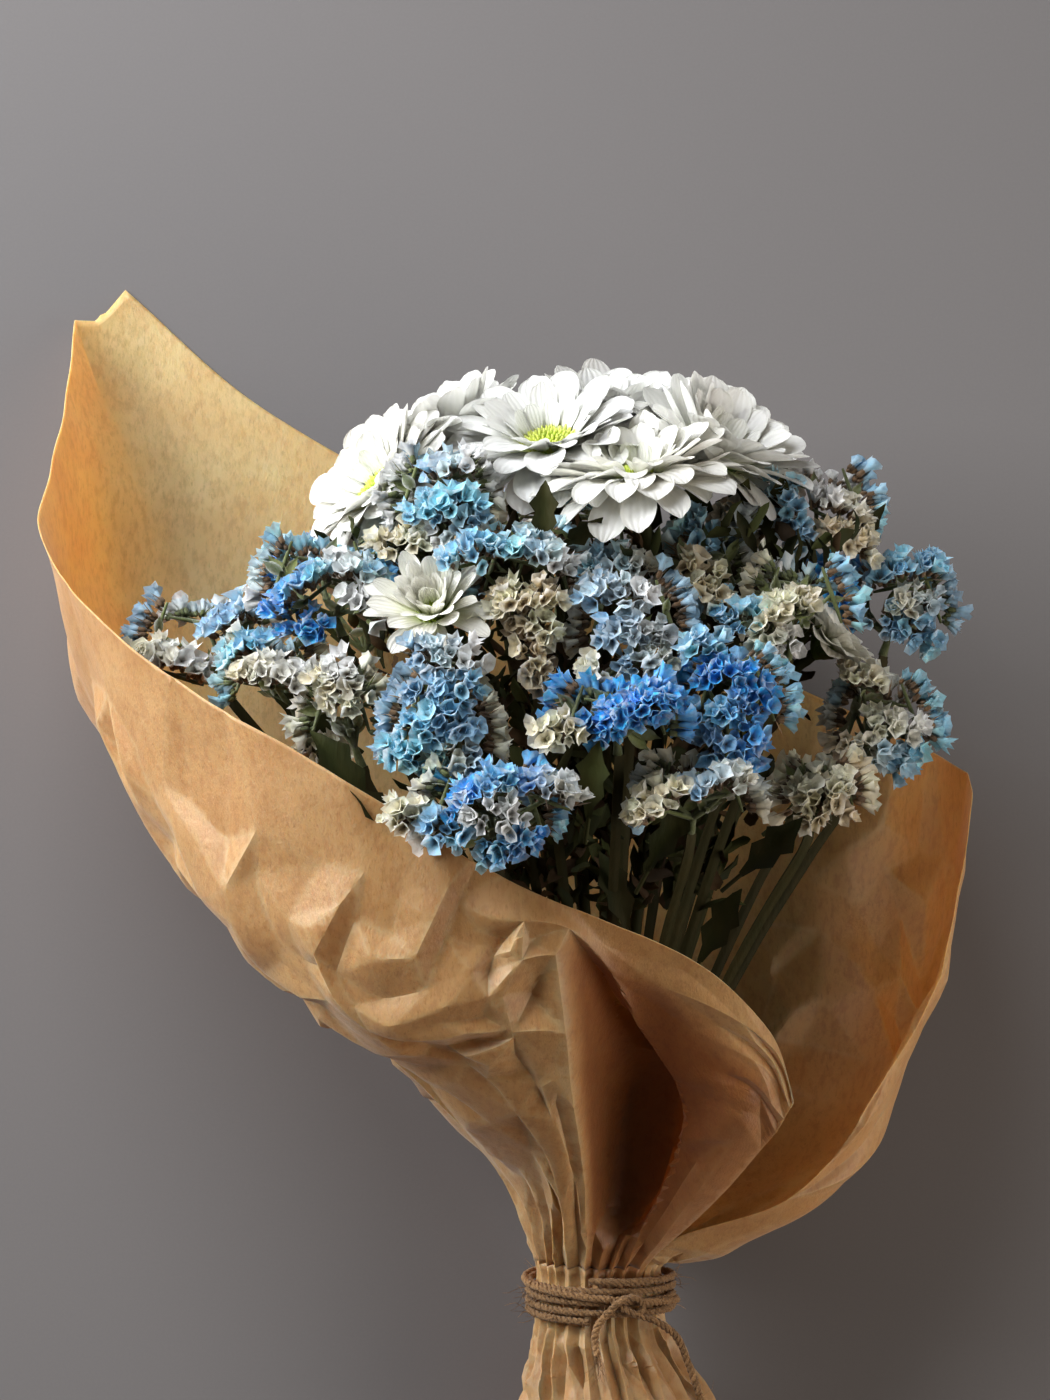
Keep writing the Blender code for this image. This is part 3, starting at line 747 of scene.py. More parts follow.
def kraft_paper():
    rng = np.random.default_rng(PAPER_SEED)
    ridges, valleys = pleat_places(rng)
    neck_us = np.interp(np.linspace(0, 1, NECK_POINTS) * 360 + NECK_ANGLES[0], NECK_ANGLES,
                        np.arange(SIDES + 1))
    cone = cone_patch(rng, ridges, valleys, neck_us)
    tail = tail_patch(rng, ridges, valleys, neck_us)
    points, faces, wear, tones, count = [], [], [], [], 0
    for (flat, heights, rubbed, triangles), unflat in ((cone, cone_unflat), (tail, tail_unflat)):
        u, v = unflat(flat)
        points.append(shaped_sheet(u, v, heights))
        faces.append(triangles + count)
        wear.append(rubbed)
        tones.append(paper_tones(u, v))
        count += len(flat)
    points, faces, wear = np.vstack(points), np.vstack(faces), np.concatenate(wear)
    shape = Shape()
    shape.add(points, outward(points, faces), np.vstack(tones), wear)
    wrap = shape.finish("kraft_paper", paper_finishes(), "kraft_paper", ["kraft_paper_wrap"])
    weld_seam(wrap.data)
    wrap.data.set_sharp_from_angle(angle=SHARP_PAPER)
    shell = wrap.modifiers.new("sheet", "SOLIDIFY")
    shell.thickness = PAPER_THICK * MM
    shell.offset = -1.0
    shell.material_offset = 1
    shell.material_offset_rim = 1
    return wrap


def outward(points, faces):
    """The faces turned so that their fronts look out of the wrap."""
    a, b, c = (points[faces[:, i]] for i in range(3))
    normal = np.cross(b - a, c - a)
    middle = (a + b + c) / 3
    low = middle[:, 1] < NECK_LEVELS[-1]
    out = middle * (1, 0, 1)
    if (normal[low] * out[low]).sum() < 0:
        return faces[:, ::-1]
    return faces


def shaped_sheet(u, v, heights):
    """The sheet with its creases, torn corner and soft swells, resting on the surface."""
    v = v - 0.7 * np.clip(1 - u, 0, 1) ** 2 * np.clip(v - 9, 0, 1) ** 2
    base = sheet(u, v)
    normal = sheet_normals(u, v)
    near = v < NECK_ROW + 0.4       # where away from the axis is surely outwards
    out = np.sign(np.einsum("nc,nc->n", normal[near], base[near] * (1, 0, 1)).sum())
    swell = np.array([perlin.noise(Vector(p) / SWELL_LENGTH) for p in base])
    swell *= np.clip((v - NECK_ROW) / 2, 0, 1) * SWELL_HEIGHT
    points = base + normal * (out * (heights + swell))[:, None]
    torn = np.interp(u, (13.0, 13.42, 13.5, 13.62, 14.0), (0.0, 5.5, 4.2, 4.6, 0.0))
    points[:, 1] -= torn * np.clip((v - 9.3) / 0.7, 0, 1)
    points[:, 2] = np.maximum(points[:, 2], surface_height(points[:, 1]) + 0.1)
    return points


def weld_seam(mesh):
    bm = bmesh.new()
    bm.from_mesh(mesh)
    bmesh.ops.remove_doubles(bm, verts=bm.verts, dist=0.02 * MM)
    bm.to_mesh(mesh)
    bm.free()


def paper_tones(u, v):
    """Painted shade on the front flap, in its hollow and on the tail, and painted light on the
    back left wing. The real sheet is probably one colour: this stands for shadow and light through it."""
    crest = np.interp(u, (0.0, 1.0, 1.6, 2.2, 2.6, 3.3, 3.95), (8.9, 9.1, 9.1, 9.2, 9.4, 9.5, 9.4))
    shade = ramp_up(crest - v, 0.0, 0.6) * ramp_up(4.0 - u, 0.0, 0.45) * ramp_up(v, 4.5, 6.3)
    shade = shade * (0.55 + 0.45 * ramp_up(u, 0.0, 1.6))
    light = ramp_up(u, 9.5, 11.0) * ramp_up(17.0 - u, 0.0, 2.0)
    shade = np.maximum(shade, TAIL_SHADE * ramp_up(4.2 - v, 0.0, 1.5))
    tones = 1 - shade[:, None] * (1 - np.array(SHADED_PAPER))
    return tones * (1 + light[:, None] * np.array(LIT_PAPER))


def ramp_up(values, low, high):
    share = np.clip((values - low) / (high - low), 0, 1)
    return share * share * (3 - 2 * share)


def paper_finishes():
    outer = kraft_material("kraft_outside", (0.60, 0.335, 0.150), (0.50, 0.265, 0.100),
                           (0.34, 0.15, 0.045), 0.35)
    inner = kraft_material("kraft_inside", (0.66, 0.39, 0.16), (0.58, 0.32, 0.115),
                           (0.42, 0.21, 0.07), 0.45)
    return [outer, inner]


# ---------------------------------------------------------------- small shared forms

def unit(vector):
    vector = np.asarray(vector, float)
    return vector / np.linalg.norm(vector)


def frame_along(way, hint=(0.0, 0.0, 1.0)):
    """Three unit vectors, the last one along way."""
    way = unit(way)
    side = np.cross(hint, way)
    if np.linalg.norm(side) < 1e-3:
        side = np.cross((1.0, 0.0, 0.0), way)
    side = unit(side)
    return side, np.cross(way, side), way


def spoke(side, other, angle):
    """The direction at an angle round an axis, from its two sides."""
    return math.cos(angle) * side + math.sin(angle) * other


def smooth_line(points, steps):
    """A Catmull-Rom line through points, with steps parts between two of them."""
    points = np.asarray(points, float)
    ends = np.vstack([2 * points[0] - points[1], points, 2 * points[-1] - points[-2]])
    shares = weights(np.arange(steps) / steps)
    line = [shares @ ends[i:i + 4] for i in range(len(points) - 1)]
    return np.vstack(line + [points[-1:]])


def tube(shape, line, radii, tint, sides=6, section=None, twist=0.0, streak=0.0):
    """A closed tube along a line. section scales the radius at each side, and twist turns it."""
    line = np.asarray(line, float)
    radii = np.broadcast_to(np.asarray(radii, float), (len(line),))
    ways = np.gradient(line, axis=0)
    ways /= np.linalg.norm(ways, axis=1, keepdims=True)
    side = frame_along(ways[0])[0]
    angles = math.tau * np.arange(sides) / sides
    form = np.ones(sides) if section is None else np.asarray(section)
    rings = []
    for k, (place, way) in enumerate(zip(line, ways)):
        side = unit(side - way * (side @ way))
        other = np.cross(way, side)
        turn = angles + twist * k
        ring = np.cos(turn)[:, None] * side + np.sin(turn)[:, None] * other
        rings.append(place + ring * (form * radii[k])[:, None])
    points = np.vstack(rings + [line[:1], line[-1:]])
    faces = []
    for k in range(len(line) - 1):
        for i in range(sides):
            j = (i + 1) % sides
            low, high = k * sides, (k + 1) * sides
            faces += [(low + i, low + j, high + j), (low + i, high + j, high + i)]
    first, last = len(line) * sides, len(line) * sides + 1
    end = (len(line) - 1) * sides
    for i in range(sides):
        j = (i + 1) % sides
        faces += [(first, j, i), (last, end + i, end + j)]
    shape.add(points, faces, tint, streak)


def lens_faces(rows, columns):
    """Faces of a closed leaf: an upper grid, and a lower grid that shares its border."""
    top = np.arange(rows * columns).reshape(rows, columns)
    low = top.copy()
    inner = (rows - 2) * (columns - 2)
    low[1:-1, 1:-1] = rows * columns + np.arange(inner).reshape(rows - 2, columns - 2)
    faces = []
    for grid, flip in ((top, False), (low, True)):
        for r in range(rows - 1):
            for c in range(columns - 1):
                face = (grid[r, c], grid[r, c + 1], grid[r + 1, c + 1], grid[r + 1, c])
                faces.append(face[::-1] if flip else face)
    return np.array(faces)


# Grids of a blade: rows of points along it, columns across it, and its faces
PETAL, LEAF, SCRAP = [(*size, lens_faces(*size)) for size in ((11, 7), (9, 5), (6, 3))]


def blade(shape, grid, place, ways, length, width, outline, curve, section,
          thick, tints, twist=0.0, round_tip=0.2, skew=0.0):
    """A closed petal or leaf. ways are its side, its lift and its outward direction; outline gives
    the width along it, curve its angle from outwards to lift, section its lift across, and tints
    its colour, at t from foot to tip and s across."""
    rows, columns, faces = grid
    side, lift, out = ways
    t = 1 - (1 - np.linspace(0, 1, rows)) ** 1.5
    s = np.linspace(-1, 1, columns)
    angle = curve(t)
    step = np.diff(t) * length
    middle = 0.5 * (angle[1:] + angle[:-1])
    reach = np.concatenate(([0.0], np.cumsum(np.cos(middle) * step)))
    rise = np.concatenate(([0.0], np.cumsum(np.sin(middle) * step)))
    half = 0.5 * width * outline(t)
    along = -round_tip * length * (t ** 5)[:, None] * (abs(s) ** 2.2)[None, :]
    across = half[:, None] * s[None, :]
    lifted = section(t[:, None], s[None, :]) * half[:, None]
    roll = twist * t[:, None]
    across, lifted = (across * np.cos(roll) - lifted * np.sin(roll) + skew * length * t[:, None] ** 2,
                      across * np.sin(roll) + lifted * np.cos(roll))
    cos, sin = np.cos(angle)[:, None], np.sin(angle)[:, None]
    outward_part = reach[:, None] + along * cos - lifted * sin
    lift_part = rise[:, None] + along * sin + lifted * cos
    top = (place + outward_part[..., None] * out + lift_part[..., None] * lift
           + across[..., None] * side)
    normal = -sin[..., None] * out + cos[..., None] * lift
    depth = thick * (1 - s[None, :] ** 2) * np.minimum(1, 4 * (1 - t[:, None]) + 0.2)
    low = top - normal * depth[..., None]
    points = np.vstack([top.reshape(-1, 3), low[1:-1, 1:-1].reshape(-1, 3)])
    tint = tints(t[:, None], s[None, :])
    tint = np.broadcast_to(tint, (rows, columns, 3))
    tint = np.vstack([tint.reshape(-1, 3), tint[1:-1, 1:-1].reshape(-1, 3) * 0.97])
    streak = np.broadcast_to(s[None, :], (rows, columns))
    streak = np.concatenate([streak.ravel(), streak[1:-1, 1:-1].ravel()])
    shape.add(points, faces, tint, streak)


# ---------------------------------------------------------------- the chrysanthemums

PETAL_WHITE = np.array((0.93, 0.93, 0.89))
PETAL_CREAM = np.array((0.92, 0.89, 0.76))
PETAL_FOOT = np.array((0.66, 0.74, 0.30))
DISC_GREEN = np.array((0.42, 0.55, 0.06))
DISC_YELLOW = np.array((0.74, 0.76, 0.22))
CALYX_GREEN = np.array((0.10, 0.17, 0.04))
OPEN_GREEN, CUP_GREEN = 0.36, 0.62  # how far up a petal its green foot reaches
DISC_BUDS, DISC_RADIUS = 130, 8.6
BLOOM_SIZE = 34.0                   # the radius that the whorls below are made for
# Whorls of a bloom: petals, foot radius, foot height, length, width, angle at foot and tip
OPEN_WHORLS = (
    (14, 8.6, -2.0, 29.0, 15.5, 6, -10),
    (14, 8.4, -1.0, 27.5, 15.0, 18, -2),
    (13, 8.0, 0.0, 25.0, 14.0, 30, 10),
    (12, 7.6, 0.6, 19.0, 12.0, 44, 28),
    (11, 7.2, 1.0, 12.0, 7.5, 56, 46),
)
FULL_WHORLS = (
    (14, 8.6, -2.0, 30.0, 16.0, 14, 4),
    (14, 8.4, -1.0, 29.0, 15.5, 32, 22),
    (13, 8.0, 0.0, 27.0, 14.5, 46, 38),
    (12, 7.6, 0.6, 22.0, 12.5, 58, 52),
    (11, 7.2, 1.0, 14.0, 8.0, 66, 60),
)
CUP_WHORLS = (
    (9, 6.0, -1.5, 34.0, 13.0, 26, 0),
    (10, 5.6, -0.5, 30.0, 12.5, 46, 28),
    (10, 5.2, 0.5, 26.0, 11.5, 60, 50),
    (9, 4.6, 1.2, 20.0, 9.5, 72, 68),
    (8, 4.0, 1.8, 14.0, 6.0, 82, 80),
)
# Blooms: name, centre, way it faces, radius, whorls, droop towards the tie, tint, disc tint
BLOOMS = (
    ("chrysanthemum_1", (-18, 300, 15), (-0.1, 0.88, 0.42), 37, OPEN_WHORLS, 0.5, 0.0, 0.9),
    ("chrysanthemum_2", (-79, 284, 8), (-0.7, 0.62, 0.35), 34, OPEN_WHORLS, 0.5, 0.3, 0.5),
    ("chrysanthemum_3", (-54, 303, -24), (-0.4, 0.9, 0.1), 34, FULL_WHORLS, 0.2, 0.1, 0.5),
    ("chrysanthemum_4", (42, 297, 4), (0.42, 0.82, 0.30), 34, FULL_WHORLS, 0.45, 0.12, 1.0),
    ("chrysanthemum_5", (12, 287, 42), (-0.1, 0.96, 0.16), 34, OPEN_WHORLS, 1.15, 0.4, 0.4),
    ("chrysanthemum_6", (4, 309, -28), (0.05, 0.95, 0.2), 35, FULL_WHORLS, 0.2, 0.0, 0.5),
    ("chrysanthemum_7", (-58, 239, 66), (-0.15, 0.7, 0.7), 23, CUP_WHORLS, 0.3, 0.6, 0.0),
    ("chrysanthemum_8", (80, 230, 22), (0.7, 0.7, 0.1), 23, OPEN_WHORLS, 0.2, 0.7, 0.4),
)


def plain_tints(tint):
    return lambda t, s: tint + 0 * t[..., None] + 0 * s[..., None]


def petal_outline(t):
    rise = 0.34 + 0.66 * np.sin(np.clip(t / 0.70, 0, 1) * math.pi / 2) ** 1.2
    return rise * np.sqrt(1 - 0.93 * np.clip((t - 0.70) / 0.30, 0, 1) ** 2.2)


def petal_tints(foot, white, fade):
    def tint(t, s):
        share = np.clip(1 - t / fade, 0, 1)[..., None] ** 1.4
        return foot * share + white * (1 - share) + 0 * s[..., None]
    return tint


def bloom(name, centre, facing, radius, whorls, droop, cream, yellow):
    rng = np.random.default_rng(sum(map(ord, name)))
    size = radius / BLOOM_SIZE
    side, other, up = frame_along(facing, (0.2, -1.0, 0.1))
    centre = np.array(centre, float)
    shape = Shape()
    white = PETAL_WHITE * (1 - cream) + PETAL_CREAM * cream
    green = CUP_GREEN if whorls is CUP_WHORLS else OPEN_GREEN
    for count, foot, height, length, width, start, end in whorls:
        spin = rng.uniform(0, math.tau)
        for i in range(count):
            angle = spin + math.tau * (i + rng.uniform(-0.22, 0.22)) / count
            out = spoke(side, other, angle)
            sag = droop * (0.6 * float(out[2]) - float(out[1]))
            low = math.radians(start + rng.uniform(-5, 5) - 12 * sag)
            high = math.radians(end + rng.uniform(-12, 12) - 55 * sag)
            cup, ribs = rng.uniform(0.10, 0.42), rng.uniform(0.01, 0.03)
            bent = rng.uniform(0.8, 2.4)
            across = np.cross(up, out)
            shade = white * rng.uniform(0.94, 1.03)
            blade(shape, PETAL,
                  centre + (out * foot + up * (height - 1.0)) * size, (across, up, out),
                  length * size * rng.uniform(0.88, 1.06), width * size * rng.uniform(0.76, 1.02),
                  petal_outline, lambda t: low + (high - low) * t ** bent,
                  lambda t, s: cup * s ** 2 * (1 - 0.35 * t) + ribs * np.cos(s * 7.5) * t,
                  0.35, petal_tints(PETAL_FOOT, shade, green), rng.uniform(-0.35, 0.35),
                  rng.uniform(0.0, 0.05), rng.uniform(-0.06, 0.06))
    ways = (side, other, up)
    disc(shape, rng, centre, ways, size, yellow)
    calyx(shape, rng, centre, ways, size)
    return shape.finish(name + "_petals", [finishes()["petal"]], "chrysanthemum_petals",
                        [name + "_bloom"])


def disc(shape, rng, centre, ways, size, yellow):
    """The bloom's middle: small buds in a spiral over a low dome, larger and paler outside."""
    side, other, up = ways
    for i in range(DISC_BUDS):
        share = math.sqrt((i + 0.5) / DISC_BUDS)
        angle = i * math.pi * (3 - math.sqrt(5))
        out = spoke(side, other, angle)
        place = centre + (out * DISC_RADIUS * share + up * (1.6 - 1.9 * share ** 2)) * size
        way = up + out * share * 0.8
        tall = rng.uniform(1.3, 1.9) * (1 + share) * size
        tint = DISC_GREEN * (1 - share * yellow) + DISC_YELLOW * share * yellow
        line = [place - way * 1.4, place + unit(way) * tall * 0.6, place + unit(way) * tall]
        tube(shape, line, (0.45 * size, 0.62 * size, 0.25 * size), tint * rng.uniform(0.8, 1.15), 5)


def calyx(shape, rng, centre, ways, size):
    """The green base of the bloom, with two rows of bracts."""
    side, other, up = ways
    line = [centre + up * h * size for h in (-12.5, -11.0, -8.5, -5.5, -2.5, -1.2)]
    tube(shape, line, np.array((2.4, 3.4, 5.6, 7.6, 8.2, 4.0)) * size, CALYX_GREEN, 14)
    for count, foot, height, length in ((14, 6.4, -7.5, 7.5), (12, 4.6, -9.8, 6.5)):
        for i in range(count):
            angle = math.tau * (i + rng.uniform(-0.2, 0.2)) / count
            out = spoke(side, other, angle)
            blade(shape, LEAF,
                  centre + (out * foot + up * height) * size, (np.cross(up, out), up, out),
                  length * size, 3.2 * size, lambda t: np.sin(math.pi * (0.12 + 0.86 * t)) ** 0.8,
                  lambda t: 1.15 - 0.6 * t, lambda t, s: 0.2 * s ** 2, 0.3,
                  lambda t, s: CALYX_GREEN * (0.9 + 0.5 * t[..., None]) + 0 * s[..., None])


# ---------------------------------------------------------------- the statice

VIVID, LIGHT, GREY = (0.0, 0.35, 0.86), (0.28, 0.66, 0.96), (0.31, 0.55, 0.76)
WHITE, CREAM, BEIGE = (0.90, 0.92, 0.89), (0.92, 0.83, 0.60), (0.82, 0.68, 0.46)
BROWN, GREEN = (0.17, 0.10, 0.045), (0.10, 0.12, 0.035)
# Crests of papery florets in each spray: the two ends of the crest's top, the way it faces, the
# colours at its two ends and the colour of its bracts
CRESTS = {
    "01": (((-166, 229, 28), (-135, 219, 30), (-0.3, 0.85, 0.45), CREAM, WHITE, BROWN),
           ((-139, 236, 20), (-121, 245, 20), (0, 0.9, 0.4), GREY, GREY, BROWN)),
    "02": (((-127, 221, 58), (-100, 218, 60), (0, 0.8, 0.6), CREAM, WHITE, BROWN),
           ((-130, 228, 46), (-114, 232, 46), (0, 0.9, 0.4), LIGHT, LIGHT, BROWN),
           ((-105, 194, 56), (-86, 195, 58), (0.1, 0.8, 0.5), CREAM, CREAM, GREEN)),
    "03": (((-117, 240, 52), (-94, 258, 52), (-0.35, 0.9, 0.3), VIVID, LIGHT, BROWN),
           ((-95, 258, 52), (-74, 252, 54), (0.15, 0.9, 0.4), WHITE, LIGHT, BROWN),
           ((-112, 238, 52), (-94, 233, 56), (-0.3, 0.4, 0.85), VIVID, VIVID, BROWN),
           ((-84, 247, 58), (-76, 238, 60), (0.4, 0.4, 0.8), WHITE, WHITE, GREEN)),
    "04": (((-92, 222, 72), (-84, 207, 76), (-0.3, 0.1, 0.95), WHITE, CREAM, BROWN),
           ((-99, 217, 68), (-90, 206, 72), (-0.7, -0.3, 0.6), CREAM, CREAM, BROWN)),
    "05": (((-61, 290, 46), (-45, 293, 48), (-0.1, 0.8, 0.6), GREY, WHITE, BROWN),
           ((-69, 274, 54), (-42, 279, 55), (0, 0.6, 0.8), LIGHT, LIGHT, BROWN),
           ((-82, 264, 46), (-57, 267, 52), (-0.2, 0.7, 0.7), CREAM, CREAM, GREEN),
           ((-56, 270, 56), (-42, 272, 56), (0.1, 0.3, 0.95), WHITE, LIGHT, BROWN)),
    "06": (((-55, 258, 70), (-35, 264, 71), (0, 0.75, 0.65), LIGHT, LIGHT, BROWN),
           ((-35, 263, 72), (-8, 256, 70), (0.1, 0.7, 0.7), LIGHT, WHITE, BROWN),
           ((-43, 241, 74), (-12, 246, 75), (0, 0.45, 0.9), CREAM, BEIGE, BROWN),
           ((-28, 237, 72), (-21, 211, 78), (0.1, 0, 1), BEIGE, BEIGE, BROWN),
           ((-38, 245, 72), (-17, 231, 76), (-0.1, 0.2, 1), BEIGE, CREAM, BROWN)),
    "07": (((-65, 225, 94), (-42, 222, 94), (0, 0.3, 0.95), GREY, WHITE, BROWN),
           ((-67, 213, 96), (-39, 212, 96), (0, 0.15, 1), GREY, LIGHT, BROWN),
           ((-70, 201, 96), (-40, 200, 97), (-0.1, 0.1, 1), LIGHT, GREY, BROWN),
           ((-76, 192, 94), (-52, 188, 97), (-0.3, 0, 0.95), LIGHT, LIGHT, BROWN),
           ((-55, 190, 98), (-41, 187, 97), (0.2, -0.1, 1), CREAM, GREY, BROWN)),
    "08": (((-52, 178, 112), (-30, 185, 112), (-0.2, 0.7, 0.7), VIVID, LIGHT, BROWN),
           ((-30, 186, 110), (-7, 177, 108), (0.2, 0.75, 0.6), VIVID, CREAM, BROWN),
           ((-42, 158, 114), (-21, 164, 113), (0.1, -0.5, 0.85), LIGHT, VIVID, BROWN),
           ((-72, 175, 106), (-58, 170, 108), (-0.3, 0.6, 0.7), CREAM, CREAM, BROWN),
           ((-58, 171, 112), (-45, 163, 114), (0, 0.2, 1), GREY, LIGHT, BROWN),
           ((-49, 175, 116), (-27, 171, 116), (0, 0.2, 1), WHITE, WHITE, GREEN)),
    "09": (((-6, 247, 76), (17, 244, 77), (0, 0.4, 0.9), GREY, WHITE, BROWN),
           ((-3, 233, 80), (22, 230, 80), (0, 0.2, 1), GREY, WHITE, BROWN),
           ((-8, 221, 82), (3, 211, 86), (-0.2, 0.2, 0.95), CREAM, WHITE, GREEN),
           ((5, 222, 82), (23, 221, 82), (0.1, 0.1, 1), GREY, CREAM, BROWN)),
    "10": (((-7, 199, 104), (26, 209, 103), (-0.1, -0.1, 1), VIVID, VIVID, BROWN),
           ((-5, 205, 100), (24, 214, 99), (-0.2, 0.8, 0.5), VIVID, VIVID, BROWN),
           ((-21, 197, 104), (-9, 203, 104), (-0.1, 0.2, 1), CREAM, CREAM, GREEN)),
    "11": (((27, 229, 88), (39, 230, 86), (0, 0.7, 0.7), LIGHT, LIGHT, BROWN),
           ((31, 220, 90), (57, 212, 88), (0.1, 0.3, 0.95), VIVID, VIVID, BROWN),
           ((30, 203, 92), (55, 205, 90), (0.1, 0.1, 1), LIGHT, VIVID, BROWN),
           ((32, 192, 92), (54, 193, 90), (0.1, -0.2, 0.95), GREY, VIVID, BROWN)),
    "12": (((7, 170, 98), (23, 184, 98), (-0.5, 0.6, 0.6), CREAM, CREAM, BROWN),
           ((27, 181, 100), (49, 186, 97), (0.1, 0.8, 0.5), GREY, CREAM, BROWN)),
    "13": (((26, 258, 52), (43, 244, 54), (0.2, 0.3, 0.9), BEIGE, CREAM, BROWN),
           ((-6, 259, 56), (19, 256, 56), (0, 0.7, 0.7), LIGHT, BEIGE, BROWN),
           ((28, 277, 34), (39, 263, 42), (0.1, 0.5, 0.85), LIGHT, GREY, BROWN),
           ((42, 276, 26), (54, 268, 30), (0.1, 0.3, 0.95), BEIGE, GREY, GREEN),
           ((30, 246, 56), (44, 238, 58), (0.2, 0, 1), CREAM, BEIGE, BROWN)),
    "14": (((62, 290, 12), (70, 261, 16), (-0.3, 0.3, 0.9), LIGHT, GREY, BROWN),
           ((74, 285, 10), (99, 272, 10), (0.5, 0.8, 0.3), WHITE, CREAM, BROWN),
           ((78, 270, 16), (99, 264, 14), (0.5, 0.5, 0.7), BEIGE, CREAM, BROWN)),
    "15": (((47, 237, 62), (74, 246, 60), (0, 0.8, 0.6), CREAM, CREAM, GREEN),
           ((40, 237, 64), (53, 238, 64), (-0.2, 0.5, 0.85), LIGHT, LIGHT, BROWN),
           ((52, 230, 64), (68, 229, 62), (0.1, 0, 1), CREAM, WHITE, GREEN)),
    "16": (((76, 259, 8), (89, 244, 12), (0.2, 0.3, 0.9), VIVID, VIVID, BROWN),
           ((93, 253, 6), (124, 260, 0), (0.2, 0.9, 0.4), LIGHT, LIGHT, BROWN),
           ((99, 238, 8), (122, 228, 2), (0.5, -0.4, 0.7), GREY, LIGHT, BROWN),
           ((106, 245, 10), (122, 244, 4), (0.5, 0.3, 0.8), CREAM, GREY, BROWN)),
    "17": (((85, 221, 42), (99, 216, 40), (0.1, 0.7, 0.7), CREAM, CREAM, BROWN),
           ((92, 203, 42), (115, 198, 36), (0.4, 0.4, 0.8), CREAM, WHITE, GREEN),
           ((84, 193, 44), (106, 187, 40), (0.3, -0.3, 0.9), BEIGE, LIGHT, GREEN),
           ((103, 186, 38), (114, 193, 34), (0.8, -0.1, 0.5), LIGHT, LIGHT, BROWN)),
    "18": (((63, 180, 66), (86, 182, 62), (0, 0.75, 0.65), CREAM, CREAM, BROWN),
           ((67, 172, 68), (84, 174, 66), (0.1, 0.2, 1), CREAM, BEIGE, BROWN)),
    "19": (), "20": (), "21": (),
}
BACK_COLOURS = {"19": (LIGHT, VIVID, WHITE), "20": (CREAM, LIGHT, GREY), "21": (GREY, CREAM, LIGHT)}
SHOWN_ROWS, HIDDEN_ROWS = 3, 2      # rows of florets in a crest in front, and at the back
ROW_TURN = 0.46                     # radians from one row to the next
FLORET = 2.9                        # radius of a floret's papery rim
FLORET_LONG = 8.2
FLORET_SIDES = 10
BRACT_SIDES, BRISTLE_SIDES = 5, 3
FLORET_CLEAR = 5.0                  # of a floret over the supporting surface


def funnel_faces():
    """Triangles of a closed funnel: tip, two outer rings, rim, inner ring and throat."""
    n = FLORET_SIDES
    faces = []
    ring = [[1 + k * n + i for i in range(n)] for k in range(4)]
    throat = 4 * n + 1
    for i in range(n):
        j = (i + 1) % n
        faces.append((0, ring[0][j], ring[0][i]))
        for low, high in ((0, 1), (1, 2), (2, 3)):
            faces.append((ring[low][i], ring[low][j], ring[high][j]))
            faces.append((ring[low][i], ring[high][j], ring[high][i]))
        faces.append((ring[3][i], ring[3][j], throat))
    return np.array(faces)


def spindle_faces(sides):
    """Triangles of a closed spindle: tip, two rings, tip."""
    faces = []
    for i in range(sides):
        j = (i + 1) % sides
        low, next_low, high, next_high = 1 + i, 1 + j, 1 + sides + i, 1 + sides + j
        faces += [(0, next_low, low), (low, next_low, next_high), (low, next_high, high),
                  (high, next_high, 1 + 2 * sides)]
    return np.array(faces)


FUNNEL = funnel_faces()
BRACT, BRISTLE = spindle_faces(BRACT_SIDES), spindle_faces(BRISTLE_SIDES)


def repeat_faces(faces, count, size):
    return (faces[None] + (np.arange(count) * size)[:, None, None]).reshape(-1, 3)


def rings_points(places, ways, angles, radii, heights):
    """Points of rings about each place: radii and heights are (count, rings, sides)."""
    across, other, along = ways
    cos, sin = np.cos(angles)[:, None, :, None], np.sin(angles)[:, None, :, None]
    out = cos * across[:, None, None] + sin * other[:, None, None]
    points = places[:, None, None] + out * radii[..., None]
    return points + along[:, None, None] * heights[..., None]


def frames_along(ways):
    along = ways / np.linalg.norm(ways, axis=1, keepdims=True)
    hint = np.where(abs(along[:, 2:3]) < 0.9, [[0.0, 0.0, 1.0]], [[1.0, 0.0, 0.0]])
    across = np.cross(hint, along)
    across /= np.linalg.norm(across, axis=1, keepdims=True)
    return across, np.cross(along, across), along


